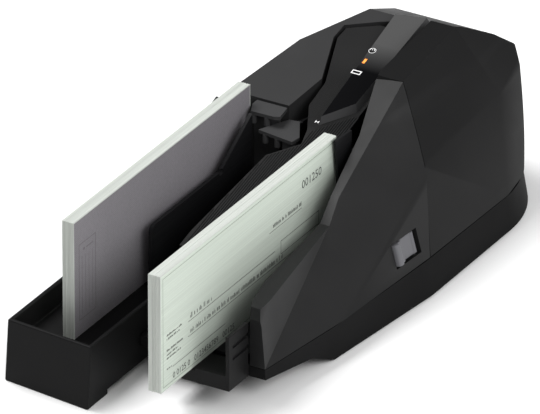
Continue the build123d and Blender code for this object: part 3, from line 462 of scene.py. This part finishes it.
def dash_print(colour):
    """Close rows of short printed dashes on the back of a cheque."""
    n = Nodes("cheque back print")
    vector = n.add("ShaderNodeCombineXYZ")
    n.link(n.axis(2), vector.inputs[0])
    n.link(n.axis(1), vector.inputs[1])
    brick = n.add("ShaderNodeTexBrick")
    n.link(vector.outputs[0], brick.inputs["Vector"])
    for key, value in (("Scale", 420.0), ("Mortar Size", 0.045), ("Mortar Smooth", 0.4)):
        brick.inputs[key].default_value = value
    for key, gain in (("Color1", 1.0), ("Color2", 1.18), ("Mortar", 1.55)):
        brick.inputs[key].default_value = (*(min(1.0, c * gain) for c in colour), 1.0)
    stain = n.math("MULTIPLY", n.noise(25.0, 3.0), 0.25)
    base = n.mix(stain, brick.outputs["Color"], toned(colour, 0.8))
    fibres = n.noise(700.0, 3.0)
    return n.finish(base, n.spread(fibres, 0.3, 0.7, 0.78, 0.9), n.bump(fibres, 0.1, 0.00004))


def gloss_plastic(name, colour, painted_reflection, rough=0.16):
    """Polished plastic with wipe marks, its colour painted paler towards the rear as a painted reflection,
    where it also mirrors more light.
    """
    n = Nodes(name)
    wipes = n.noise(45.0, 4.0, n.scaled(1.0, 0.25, 1.0))
    base = n.mix(wipes, toned(colour, 0.8), toned(colour, 1.3))
    roughness = n.spread(wipes, 0.35, 0.75, rough, rough + 0.06)
    # Painted reflection: the colour is mixed towards a pale grey towards the rear.
    lit = n.spread(n.axis(1), *PAINTED_REFLECTION_SPAN, 0.0, 1.0)
    base = n.mix(n.math("MULTIPLY", lit, painted_reflection), base, PAINTED_REFLECTION_COLOUR)
    level = n.spread(n.axis(1), *GLOSS_SPAN, 0.02, 0.18)
    return n.finish(base, roughness, n.bump(n.noise(30.0, 2.0), 0.03, 0.0002), specular_ior_level=level)


def metal(name, colour, rough):
    """Turned or brushed metal with fine lines."""
    n = Nodes(name)
    lines = n.noise(1600.0, 2.0, n.scaled(1.0, 1.0, 0.03))
    base = n.mix(n.noise(40.0, 3.0), toned(colour, 0.85), colour)
    roughness = n.spread(lines, 0.3, 0.7, rough - 0.06, rough + 0.08)
    return n.finish(base, roughness, n.bump(lines, 0.15, 0.00003), metallic=1.0)


def rubber(name, colour):
    """Soft black rubber with a dusty bloom."""
    n = Nodes(name)
    bloom = n.noise(120.0, 4.0)
    base = n.mix(bloom, colour, toned(colour, 1.9))
    roughness = n.spread(bloom, 0.3, 0.7, 0.75, 0.9)
    return n.finish(base, roughness, n.bump(n.noise(1500.0, 2.0), 0.3, 0.00008))


def paper(name, colour, edge_axis):
    """Paper stock with faint fibres; sheet edges show as fine lines across the stack."""
    n = Nodes(name)
    fibres = n.noise(700.0, 4.0, rough=0.7)
    scale = [8.0, 8.0, 8.0]
    scale[edge_axis] = 4200.0
    edges = n.noise(1.0, 1.0, n.scaled(*scale))
    lines = n.spread(edges, 0.35, 0.65, 0.0, 1.0)
    base = n.mix(lines, toned(colour, 0.86), toned(colour, 1.04))
    base = n.mix(n.math("MULTIPLY", fibres, 0.10), base, toned(colour, 0.8))
    roughness = n.spread(fibres, 0.3, 0.7, 0.8, 0.92)
    return n.finish(base, roughness, n.bump(fibres, 0.10, 0.00004))


def ink(name, colour, rough=0.6):
    """Printed ink with slightly uneven cover."""
    n = Nodes(name)
    cover = n.noise(900.0, 3.0)
    base = n.mix(cover, colour, tuple(min(1.0, c * 1.5 + 0.02) for c in colour))
    return n.finish(base, n.spread(cover, 0.3, 0.7, rough - 0.1, rough + 0.1), n.bump(cover, 0.05, 0.00002))


def lamp_material():
    """Translucent orange lamp window, lit from behind."""
    n = Nodes("lamp orange")
    glow = n.noise(500.0, 2.0)
    base = n.mix(glow, (0.75, 0.17, 0.02), (1.0, 0.35, 0.06))
    n.link(base, n.shader.inputs["Emission Color"])
    n.shader.inputs["Emission Strength"].default_value = 0.9
    return n.finish(base, n.spread(glow, 0.3, 0.7, 0.25, 0.4), n.bump(glow, 0.05, 0.00003))


def reader_glass():
    """Dark glass of the reading windows."""
    n = Nodes("reader glass")
    smear = n.noise(80.0, 3.0, n.scaled(1.0, 0.3, 1.0))
    base = n.mix(smear, (0.012, 0.014, 0.018), (0.03, 0.035, 0.045))
    roughness = n.spread(smear, 0.3, 0.7, 0.04, 0.12)
    return n.finish(base, roughness, n.bump(smear, 0.02, 0.00005), coat_weight=0.4)


def board_green():
    """Coated circuit board with traces."""
    n = Nodes("board green")
    traces = n.spread(n.noise(260.0, 1.0, n.scaled(1.0, 0.2, 1.0)), 0.48, 0.52, 0.0, 1.0)
    base = n.mix(traces, (0.008, 0.07, 0.025), (0.02, 0.16, 0.06))
    return n.finish(base, n.spread(traces, 0.0, 1.0, 0.4, 0.28), n.bump(traces, 0.1, 0.00003))


materials = {}


def make_materials():
    """All finishes, by the name used for the pieces."""
    shell, sheets = bpy.context.scene.scanner_shell, bpy.context.scene.scanner_paper
    cover, base, lane = tuple(shell.cover_colour), tuple(shell.base_colour), tuple(shell.lane_colour)
    red, green, blue = sheets.paper_colour
    materials.update({
        "cover": moulded("satin cover plastic", cover),
        "base": moulded("base plastic", base, rough=0.5, grain=1800.0, strength=0.3, level=0.03),
        "tray": moulded("tray plastic", toned(base, 1.25), rough=0.48, grain=1800.0, strength=0.3,
                        level=0.08),
        "rear": moulded("rear cover plastic", toned(cover, 0.8), level=0.08),
        "upper": moulded("upper cover plastic", toned(cover, 2.3)),
        "island": moulded("island plastic", toned(cover, 1.2)),
        "cap": moulded("guide cap plastic", toned(cover, 4.0)),
        "rim": moulded("strip rim plastic", toned(cover, 5.0), rough=0.35),
        "ribbed": island_plastic(toned(cover, 0.75)),
        "dashes": dash_print(tuple(sheets.back_colour)),
        "lane": lane_plastic("lane plastic", lane),
        # The last number sets how strongly the painted reflection shows on the strip and on the button.
        "gloss": gloss_plastic("gloss strip", (0.004, 0.004, 0.0045), 1.0),
        "button": gloss_plastic("button plastic", (0.02, 0.02, 0.021), 0.4),
        "lever": moulded("lever plastic", (0.13, 0.13, 0.14), rough=0.4, grain=1500.0),
        "steel": metal("turned steel", (0.55, 0.55, 0.56), 0.28),
        "motor": metal("motor steel", (0.48, 0.48, 0.5), 0.35),
        "brass": metal("bearing brass", (0.72, 0.5, 0.2), 0.3),
        "rubber": rubber("soft rubber", (0.016, 0.016, 0.016)),
        "glass": reader_glass(),
        "board": board_green(),
        "chips": moulded("chip plastic", (0.012, 0.012, 0.012), rough=0.5),
        "lamp": lamp_material(),
        "paper": paper("cheque paper", tuple(sheets.paper_colour), 0),
        "face": paper("cheque face", (red, green * FACE_TINT, blue), 2),
        "ink": ink("black ink", (0.02, 0.022, 0.02)),
        "rule": ink("green rule", (0.10, 0.14, 0.10)),
        "violet": ink("violet print", (0.10, 0.09, 0.10)),
        "icon": ink("white icon", (0.75, 0.75, 0.75), rough=0.4),
    })


NODE_FINISH = {
    "front_cover": "cover", "rear_cover": "rear", "left_cover": "upper", "spine_panel": "upper",
    "island_housing": "ribbed", "exit_side_wall": "cover", "base_tray": "base", "exit_pocket": "tray",
    "feed_tray": "tray", "cover_lever": "lever", "deck_plate": "lane", "divider_plate": "lane",
    "outer_exit_block": "cap", "inner_exit_block": "cap", "retard_guide": "lane", "upper_plate": "lane",
    "diverter_blade": "lane", "pressure_flap": "lane", "control_strip": "gloss", "power_button": "button",
    "status_lamp": "lamp", "rubber_feet": "rubber", "pick_tyres": "rubber", "feed_tyres": "rubber",
    "transport_tyres": "rubber", "exit_tyres": "rubber", "drive_belt": "rubber", "retard_roller": "rubber",
    "pinch_roller": "rubber", "exit_idler": "rubber", "deck_screws": "steel", "front_hinge_pin": "steel",
    "rear_hinge_pin": "steel", "left_hinge_pin": "steel", "lever_pin": "steel", "diverter_pin": "steel",
    "flap_pin": "steel", "pick_shaft": "steel", "feed_shaft": "steel", "transport_shaft": "steel",
    "exit_shaft": "steel", "motor_rotor": "steel", "retard_pin": "steel", "pinch_pin": "steel",
    "exit_idler_pin": "steel", "motor_case": "motor", "usb_socket": "motor", "deck_bearings": "brass",
    "left_sensor": "glass", "right_sensor": "glass", "reading_head": "glass", "print_cartridge": "chips",
    "power_socket": "chips", "board_chips": "chips", "main_board": "board", "feed_stack": "paper",
    "exit_stack": "paper",
}


# ------------------------------------------------------------------ node groups
def new_tree(name, inputs):
    """Geometry node group with named inputs and one geometry output."""
    tree = bpy.data.node_groups.new(name, "GeometryNodeTree")
    tree.interface.new_socket(name="Geometry", in_out="INPUT", socket_type="NodeSocketGeometry")
    for label, kind in inputs:
        tree.interface.new_socket(name=label, in_out="INPUT", socket_type="NodeSocket" + kind)
    tree.interface.new_socket(name="Geometry", in_out="OUTPUT", socket_type="NodeSocketGeometry")
    return tree, tree.nodes.new("NodeGroupInput"), tree.nodes.new("NodeGroupOutput")


def set_inputs(modifier, values):
    """Set a node modifier's inputs by the names of its sockets."""
    for item in modifier.node_group.interface.items_tree:
        if item.item_type == "SOCKET" and item.in_out == "INPUT" and item.name in values:
            modifier[item.identifier] = values[item.name]


def close_tree(tree, geometry, source, target):
    """Realise the instances, set the material and end the group."""
    real = tree.nodes.new("GeometryNodeRealizeInstances")
    paint = tree.nodes.new("GeometryNodeSetMaterial")
    tree.links.new(geometry, real.inputs[0])
    tree.links.new(real.outputs[0], paint.inputs["Geometry"])
    tree.links.new(source.outputs["Material"], paint.inputs["Material"])
    tree.links.new(paint.outputs[0], target.inputs[0])
    return tree


def rib_tree():
    """Round bars along every edge of the mesh it is given."""
    inputs = [("Radius", "Float"), ("Sides", "Int"), ("Material", "Material")]
    tree, source, target = new_tree("ribs on lines", inputs)
    curve = tree.nodes.new("GeometryNodeMeshToCurve")
    circle = tree.nodes.new("GeometryNodeCurvePrimitiveCircle")
    solid = tree.nodes.new("GeometryNodeCurveToMesh")
    solid.inputs["Fill Caps"].default_value = True
    tree.links.new(source.outputs["Geometry"], curve.inputs[0])
    tree.links.new(source.outputs["Sides"], circle.inputs["Resolution"])
    tree.links.new(source.outputs["Radius"], circle.inputs["Radius"])
    tree.links.new(curve.outputs[0], solid.inputs["Curve"])
    tree.links.new(circle.outputs[0], solid.inputs["Profile Curve"])
    return close_tree(tree, solid.outputs[0], source, target)


def sheet_tree():
    """Row of copies of one sheet, each a little out of line."""
    inputs = [("Count", "Int"), ("Spacing", "Float"), ("Jitter", "Float"), ("Seed", "Int"),
              ("Material", "Material")]
    tree, source, target = new_tree("stacked sheets", inputs)
    step = tree.nodes.new("ShaderNodeCombineXYZ")
    line = tree.nodes.new("GeometryNodeMeshLine")
    low, high = tree.nodes.new("ShaderNodeCombineXYZ"), tree.nodes.new("ShaderNodeCombineXYZ")
    less = tree.nodes.new("ShaderNodeMath")
    less.operation = "MULTIPLY"
    less.inputs[1].default_value = -1.0
    random = tree.nodes.new("FunctionNodeRandomValue")
    random.data_type = "FLOAT_VECTOR"
    shift = tree.nodes.new("GeometryNodeSetPosition")
    copies = tree.nodes.new("GeometryNodeInstanceOnPoints")
    link = tree.links.new
    link(source.outputs["Spacing"], step.inputs["X"])
    link(source.outputs["Count"], line.inputs["Count"])
    link(step.outputs[0], line.inputs["Offset"])
    link(source.outputs["Jitter"], less.inputs[0])
    link(less.outputs[0], low.inputs["Y"])
    link(source.outputs["Jitter"], high.inputs["Y"])
    link(source.outputs["Jitter"], high.inputs["Z"])
    link(low.outputs[0], random.inputs[0])
    link(high.outputs[0], random.inputs[1])
    link(source.outputs["Seed"], random.inputs["Seed"])
    link(line.outputs[0], shift.inputs["Geometry"])
    link(random.outputs[0], shift.inputs["Offset"])
    link(shift.outputs[0], copies.inputs["Points"])
    link(source.outputs["Geometry"], copies.inputs["Instance"])
    return close_tree(tree, copies.outputs[0], source, target)


# ------------------------------------------------------------------ signs, ribs and print
def bar(middle, width, length):
    """Rectangle in plan."""
    (x, y), a, b = middle, width / 2, length / 2
    return [(x - a, y - b), (x + a, y - b), (x + a, y + b), (x - a, y + b)]


def band(middle, radii, opening=0.0):
    """Quads of a ring in plan, cut open at its rear by an angle."""
    half = math.radians(opening) / 2
    sweep = 2 * math.pi - 2 * half
    angles = [math.pi / 2 + half + sweep * i / RING_STEPS for i in range(RING_STEPS + 1)]
    outer, inner = [[(middle[0] + radius * math.cos(a), middle[1] + radius * math.sin(a)) for a in angles]
                    for radius in radii]
    return [[outer[i], outer[i + 1], inner[i + 1], inner[i]] for i in range(RING_STEPS)]


def flat_sign(name, outlines, rise, finish, body):
    """Thin raised print on the strip's sloping top."""
    bm = bmesh.new()
    for outline in outlines:
        lower, upper = [[on_strip(x, y, level) for x, y in outline] for level in (rise, rise + SIGN_DEPTH)]
        add_solid(bm, lower, upper)
    sign = add_object(name, mesh_from(bm, name), materials[finish])
    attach(sign, body)


def slope_strip_rim(bm):
    """Draw the strip's top edges in, so that its sides slope."""
    for (old_x, old_y), (new_x, new_y) in STRIP_MOVES:
        old, new = on_strip(old_x, old_y), on_strip(new_x, new_y)
        for vert in bm.verts:
            if (vert.co - old).length < CORNER_REACH:
                vert.co = new


def rib_reach(x):
    """Front and rear end of the rib at a station across the island."""
    (ax, ay), (bx, by), (cx, cy) = ISLAND_LEFT
    front = ISLAND_FRONT + RIB_FRONT_GAP
    if x < bx:
        return front, ay + (by - ay) * (x - ax) / (bx - ax) - RIB_LEFT_GAP
    if x < cx:
        return front, by + (cy - by) * (x - bx) / (cx - bx) - RIB_BEND_GAP
    slope = (STRIP_BEND[1] - STRIP_TIP[1]) / (STRIP_BEND[0] - STRIP_TIP[0])
    return front, min(STRIP_TIP[1] + (x - STRIP_TIP[0]) * slope, STRIP_BEND[1]) - RIB_STRIP_GAP


def outline_boxes(left, low, right, high, line):
    """Four thin boxes round a rectangle."""
    return [(left, low, right, low + line), (left, high - line, right, high), (left, low, left + line, high),
            (right - line, low, right, high)]


def stroke_row(left, low, length, height, seed):
    """Row of short upright strokes of uneven width, like small handwriting."""
    boxes, reach, state = [], left, seed
    while reach < left + length:
        state = (state * 1103 + 12345) % 65536
        width = 0.25 + 0.45 * (state % 97) / 97.0
        tall = height * (0.55 + 0.45 * (state // 97 % 7) / 6.0)
        boxes.append((reach, low, reach + width, low + tall))
        gap = 0.55 if state // 13 % 6 else 2.0
        reach += width + gap * height / 3.0
    return boxes


class Face:
    """The right-hand face of a stack, on which plain print lies in thin layers."""

    def __init__(self, node, name):
        left, rear, thick = STACKS[node]
        self.x, self.front = left + thick - FACE_SINK, rear - CHEQUE_LENGTH
        self.node, self.name, self.count = node, name, 0

    def point(self, rise, along, height):
        """Point over the face, from its lower front corner."""
        return place(self.x + rise, self.front + along, LANE_FLOOR + height)

    def add(self, mesh, finish):
        """Give a layer to the stack's body."""
        self.count += 1
        piece = add_object(self.name + "_" + str(self.count), mesh, materials[finish])
        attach(piece, body_of_node(self.node))

    def sheet(self, finish, boxes, rise):
        """Layer made of thin boxes."""
        bm = bmesh.new()
        for left, low, right, high in boxes:
            corners = [(left, low), (right, low), (right, high), (left, high)]
            inner, outer = [[self.point(level, *corner) for corner in corners] for level in (0.0, rise)]
            add_solid(bm, inner, outer)
        self.add(mesh_from(bm, self.name), finish)

    def number(self, text, size, left, low):
        """Plain digits."""
        curve = bpy.data.curves.new(self.name + "_digits", "FONT")
        curve.body, curve.size, curve.resolution_u = text, size * MM, 2
        curve.extrude = DIGIT_DEPTH * MM
        draft = add_object(self.name + "_digits", curve)
        graph = bpy.context.evaluated_depsgraph_get()
        mesh = bpy.data.meshes.new_from_object(draft.evaluated_get(graph), depsgraph=graph)
        bpy.data.objects.remove(draft, do_unlink=True)
        corner = self.point(INK_RISE, left, low)
        bm = bmesh.new()
        bm.from_mesh(mesh)
        for vert in bm.verts:
            along, up, out = vert.co
            vert.co = corner + Vector((out, along, up))
        bmesh.ops.remove_doubles(bm, verts=bm.verts, dist=1e-7)
        self.add(mesh_from(bm, self.name), "ink")


# ------------------------------------------------------------------ pieces
def softened(node, width, segments=3, shape=None):
    """Copy of a CAD node with its edges rounded; it stands for the node."""
    mesh = frame["nodes"][node].data.copy()
    bm = bmesh.new()
    bm.from_mesh(mesh)
    bmesh.ops.remove_doubles(bm, verts=bm.verts, dist=MERGE_REACH)
    bmesh.ops.dissolve_limit(bm, angle_limit=FLAT_ANGLE, verts=bm.verts, edges=bm.edges)
    if shape is not None:
        shape(bm)
    weights = bm.edges.layers.float.new("bevel_weight_edge")
    for edge in bm.edges:
        if len(edge.link_faces) == 2 and edge.calc_face_angle() > ROUND_ANGLE:
            edge[weights] = 1.0
    bm.to_mesh(mesh)
    bm.free()
    obj = add_object(node + "_draft", mesh, materials[NODE_FINISH[node]])
    bevel = obj.modifiers.new("round", "BEVEL")
    bevel.limit_method = "WEIGHT"
    bevel.width = width
    bevel.segments = segments
    bevel.use_clamp_overlap = True
    piece = baked(weighted(obj), node + "_skin")
    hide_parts(node)
    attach(piece, body_of_node(node))
    return piece


class SCANNER_OT_finishes(bpy.types.Operator):
    """Make every finish and give the CAD nodes theirs"""
    bl_idname = "scanner.finishes"
    bl_label = "Finishes"

    def execute(self, context):
        make_materials()
        for node, obj in frame["nodes"].items():
            obj.data.materials.clear()
            obj.data.materials.append(materials[NODE_FINISH[node]])
        return {"FINISHED"}


class SCANNER_OT_shells(bpy.types.Operator):
    """Round the edges of the covers, the base, the island and the lane pieces"""
    bl_idname = "scanner.shells"
    bl_label = "Shells"

    def execute(self, context):
        width = context.scene.scanner_shell.edge_round
        for node in ("spine_panel", "exit_pocket", "base_tray", "feed_tray"):
            softened(node, width)
        for node in ("front_cover", "rear_cover", "left_cover"):
            softened(node, width * COVER_SHARE)
        for node in ("divider_plate", "outer_exit_block", "inner_exit_block", "island_housing", "cover_lever",
                     "exit_side_wall"):
            softened(node, width * SMALL_SHARE)
        return {"FINISHED"}


class SCANNER_OT_strip(bpy.types.Operator):
    """Make the glossy strip with its sloping rim and its plain signs"""
    bl_idname = "scanner.strip"
    bl_label = "Strip"

    def execute(self, context):
        strip = softened("control_strip", STRIP_ROUND, segments=2, shape=slope_strip_rim)
        strip.data.materials.append(materials["rim"])
        for face in strip.data.polygons:
            face.material_index = 0 if face.normal.z > LEVEL_TOP else 1
        flat_sign("button_ring", band(BUTTON, RING_RADII), 0.0, "icon", "chassis")
        inner = band(BUTTON, INNER_RING_RADII, RING_OPENING) + [bar(BUTTON, *BUTTON_DASH)]
        flat_sign("button_sign", inner, BUTTON_RISE, "icon", "button_body")
        x, y = SLOT_ICON
        side, end = (SLOT_WIDTH - SLOT_LINE) / 2, (SLOT_GAP + SLOT_LINE) / 2
        slot = [bar((x, y + end), SLOT_WIDTH, SLOT_LINE), bar((x, y - end), SLOT_WIDTH, SLOT_LINE)]
        slot += [bar((x - side, y), SLOT_LINE, SLOT_GAP), bar((x + side, y), SLOT_LINE, SLOT_GAP)]
        flat_sign("slot_sign", slot, 0.0, "icon", "chassis")
        x, y = TIP_MARK
        a, b = TIP_REACH
        bow = [[(x - a, y - b), (x, y), (x - a, y + b)], [(x + a, y - b), (x + a, y + b), (x, y)]]
        flat_sign("tip_mark", bow, -STRIP_RISE, "icon", "chassis")
        return {"FINISHED"}


class SCANNER_OT_lever(bpy.types.Operator):
    """Add the proud grip of the release lever"""
    bl_idname = "scanner.lever"
    bl_label = "Lever grip"

    def execute(self, context):
        rings = []
        for height in (-GRIP_HALF_HEIGHT, GRIP_HALF_HEIGHT):
            points = [LEVER_ORIGIN + LEVER_X * a + LEVER_Y * height + LEVER_Z * b for a, b in GRIP_SECTION]
            rings.append([place(*point) for point in points])
        grip = add_object("lever_grip_draft", prism("lever_grip", *rings), materials["lever"])
        bevel = grip.modifiers.new("round", "BEVEL")
        bevel.width, bevel.segments, bevel.limit_method = GRIP_ROUND, 3, "ANGLE"
        piece = baked(weighted(grip), "lever_grip")
        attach(piece, "lever_body")
        return {"FINISHED"}


class SCANNER_OT_ribs(bpy.types.Operator):
    """Lay the fine ribs along the front of the island's sloping top"""
    bl_idname = "scanner.ribs"
    bl_label = "Island ribs"

    def execute(self, context):
        points, edges = [], []
        for i in range(RIB_COUNT):
            x = RIB_FIRST_X + i * RIB_PITCH
            start, end = rib_reach(x)
            if end - start < RIB_SHORTEST:
                continue
            edges.append((len(points), len(points) + 1))
            points += [place(x, y, top_height(y) + RIB_RISE) for y in (start, end)]
        mesh = bpy.data.meshes.new("rib_lines")
        mesh.from_pydata(points, edges, [])
        lines = add_object("rib_lines", mesh)
        modifier = lines.modifiers.new("ribs", "NODES")
        modifier.node_group = rib_tree()
        set_inputs(modifier, {"Radius": RIB_RADIUS * MM, "Sides": RIB_SIDES, "Material": materials["island"]})
        ribs = baked(lines, "island_ribs")
        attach(ribs, "chassis")
        return {"FINISHED"}


class SCANNER_OT_stacks(bpy.types.Operator):
    """Stand the two stacks of single cheques in their lanes"""
    bl_idname = "scanner.stacks"
    bl_label = "Cheque stacks"

    def execute(self, context):
        settings = context.scene.scanner_paper
        tree = sheet_tree()
        for seed, (node, (left, rear, thick)) in enumerate(STACKS.items()):
            pitch = thick / settings.sheet_count
            front = rear - CHEQUE_LENGTH
            top = LANE_FLOOR + CHEQUE_HEIGHT - SHEET_HEADROOM
            corners = [(front, LANE_FLOOR), (rear, LANE_FLOOR), (rear, top), (front, top)]
            rings = [[place(x, y, z) for y, z in corners] for x in (left, left + pitch * SHEET_SHARE)]
            sheet = add_object(node + "_sheet", prism(node + "_sheet", *rings))
            modifier = sheet.modifiers.new("sheets", "NODES")
            modifier.node_group = tree
            set_inputs(modifier, {"Count": settings.sheet_count, "Spacing": pitch * MM,
                                  "Jitter": settings.jitter, "Seed": seed + FIRST_SEED,
                                  "Material": materials["paper"]})
            stack = baked(sheet, node + "_sheets", smooth=False)
            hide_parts(node)
            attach(stack, body_of_node(node))
        return {"FINISHED"}


class SCANNER_OT_print(bpy.types.Operator):
    """Print plain rules, dashes and numbers on the cheques"""
    bl_idname = "scanner.print"
    bl_label = "Cheque print"

    def execute(self, context):
        length, height = CHEQUE_LENGTH, CHEQUE_HEIGHT - FACE_HEADROOM
        whole = [(FACE_MARGIN, FACE_MARGIN, length - FACE_MARGIN, height)]
        border = (BORDER_INSET, BORDER_INSET, length - BORDER_INSET, height - BORDER_TOP_INSET)
        face = Face("feed_stack", "feed_face")
        face.sheet("face", whole, FACE_RISE)
        face.sheet("rule", outline_boxes(*border, BORDER_LINE), BORDER_RISE)
        face.sheet("ink", FACE_RULES + outline_boxes(*AMOUNT_BOX, AMOUNT_LINE), INK_RISE)
        face.sheet("ink", [box for row in STROKE_ROWS for box in stroke_row(*row)], INK_RISE)
        for number in NUMBERS:
            face.number(*number)
        back = Face("exit_stack", "exit_face")
        back.sheet("dashes", whole, FACE_RISE)
        back.sheet("violet", outline_boxes(*BACK_PANEL, BACK_LINE) + BACK_BARS + BACK_MARKS, BORDER_RISE)
        return {"FINISHED"}


# ------------------------------------------------------------------ stage
def aim(obj, target):
    """Turn a lamp or camera so that it looks at a point."""
    direction = Vector(target) - obj.location
    obj.rotation_euler = direction.to_track_quat("-Z", "Y").to_euler()


def area_lamp(name, location, target, size_x, size_y, power):
    """Soft rectangular lamp."""
    data = bpy.data.lights.new(name, "AREA")
    data.shape = "RECTANGLE"
    data.size, data.size_y = size_x, size_y
    data.energy = power
    lamp = bpy.data.objects.new(name, data)
    bpy.context.scene.collection.objects.link(lamp)
    lamp.location = location
    aim(lamp, target)
    return lamp


def make_world(scene, settings):
    """Even light that glossy surfaces mirror dimly, and plain white behind the object."""
    world = bpy.data.worlds.new("studio")
    world.use_nodes = True
    tree = world.node_tree
    even = tree.nodes["Background"]
    even.inputs["Color"].default_value = WHITE
    seen = tree.nodes.new("ShaderNodeBackground")
    seen.inputs["Color"].default_value = WHITE
    path = tree.nodes.new("ShaderNodeLightPath")
    mix = tree.nodes.new("ShaderNodeMixShader")
    strength = tree.nodes.new("ShaderNodeMath")
    strength.operation = "MULTIPLY_ADD"
    strength.inputs[1].default_value = settings.mirrored - settings.ambient
    strength.inputs[2].default_value = settings.ambient
    tree.links.new(path.outputs["Is Glossy Ray"], strength.inputs[0])
    tree.links.new(strength.outputs[0], even.inputs["Strength"])
    tree.links.new(path.outputs["Is Camera Ray"], mix.inputs[0])
    tree.links.new(even.outputs[0], mix.inputs[1])
    tree.links.new(seen.outputs[0], mix.inputs[2])
    tree.links.new(mix.outputs[0], tree.nodes["World Output"].inputs["Surface"])
    scene.world = world


def make_camera(scene, lens):
    """Camera from the photograph's angle, far away so that lines stay nearly parallel."""
    data = bpy.data.cameras.new("camera")
    data.lens = lens
    data.sensor_width = SENSOR_WIDTH
    data.clip_end = CLIP_END
    camera = bpy.data.objects.new("camera", data)
    scene.collection.objects.link(camera)
    (width, height), (origin_x, origin_y) = PICTURE_SIZE, PICTURE_ORIGIN
    pixel = MM / PICTURE_SCALE
    target = CAMERA_RIGHT * (width / 2 - origin_x) * pixel + CAMERA_UP * (origin_y - height / 2) * pixel
    backward = CAMERA_RIGHT.cross(CAMERA_UP).normalized()
    camera.location = target + backward * (width * pixel * lens / data.sensor_width)
    aim(camera, target)
    scene.camera = camera


class SCANNER_OT_stage(bpy.types.Operator):
    """Build the floor, the lamps, the world and the camera"""
    bl_idname = "scanner.stage"
    bl_label = "Stage"

    def execute(self, context):
        settings = context.scene.scanner_stage
        scene = context.scene
        scene.view_settings.view_transform = "Standard"
        bm = bmesh.new()
        signs = ((-1, -1), (1, -1), (1, 1), (-1, 1))
        bm.faces.new([bm.verts.new((x * FLOOR_REACH, y * FLOOR_REACH, 0)) for x, y in signs])
        floor = add_object("floor", mesh_from(bm, "floor"), floor_material())
        make_world(scene, settings)
        for name, setup in LAMPS.items():
            lamp = area_lamp(name, *setup)
            lamp.visible_glossy = name != UNMIRRORED_LAMP
        make_camera(scene, settings.lens)
        return {"FINISHED"}


def floor_material():
    """Pale table top with the object's soft shadow on it."""
    n = Nodes("pale floor")
    drift = n.noise(3.0, 2.0)
    base = n.mix(drift, (0.94, 0.94, 0.94), (0.97, 0.97, 0.97))
    return n.finish(base, n.spread(drift, 0.0, 1.0, 0.75, 0.85))


class SCANNER_PT_panel(bpy.types.Panel):
    """Steps and settings of the scanner's dressing"""
    bl_idname = "SCANNER_PT_panel"
    bl_label = "Cheque scanner"
    bl_space_type = "VIEW_3D"
    bl_region_type = "UI"
    bl_category = "Scanner"

    def draw(self, context):
        layout = self.layout
        for operator in STEPS:
            layout.operator(operator.bl_idname)
        for name in ("scanner_shell", "scanner_paper", "scanner_stage"):
            group = getattr(context.scene, name)
            for prop in group.bl_rna.properties:
                if prop.identifier not in ("rna_type", "name"):
                    layout.prop(group, prop.identifier)


STEPS = (SCANNER_OT_finishes, SCANNER_OT_shells, SCANNER_OT_strip, SCANNER_OT_lever, SCANNER_OT_ribs,
         SCANNER_OT_stacks, SCANNER_OT_print, SCANNER_OT_stage)
CLASSES = (ShellSettings, PaperSettings, StageSettings) + STEPS + (SCANNER_PT_panel,)


def register():
    """Register the add-on's classes and settings."""
    for cls in CLASSES:
        bpy.utils.register_class(cls)
    bpy.types.Scene.scanner_shell = bpy.props.PointerProperty(type=ShellSettings)
    bpy.types.Scene.scanner_paper = bpy.props.PointerProperty(type=PaperSettings)
    bpy.types.Scene.scanner_stage = bpy.props.PointerProperty(type=StageSettings)


def unregister():
    """Remove the add-on's classes and settings."""
    del bpy.types.Scene.scanner_stage
    del bpy.types.Scene.scanner_paper
    del bpy.types.Scene.scanner_shell
    for cls in reversed(CLASSES):
        bpy.utils.unregister_class(cls)


def main():
    """Build everything in order."""
    register()
    for operator in STEPS:
        group, name = operator.bl_idname.split(".")
        getattr(getattr(bpy.ops, group), name)()


if __name__ == "__main__":
    main()
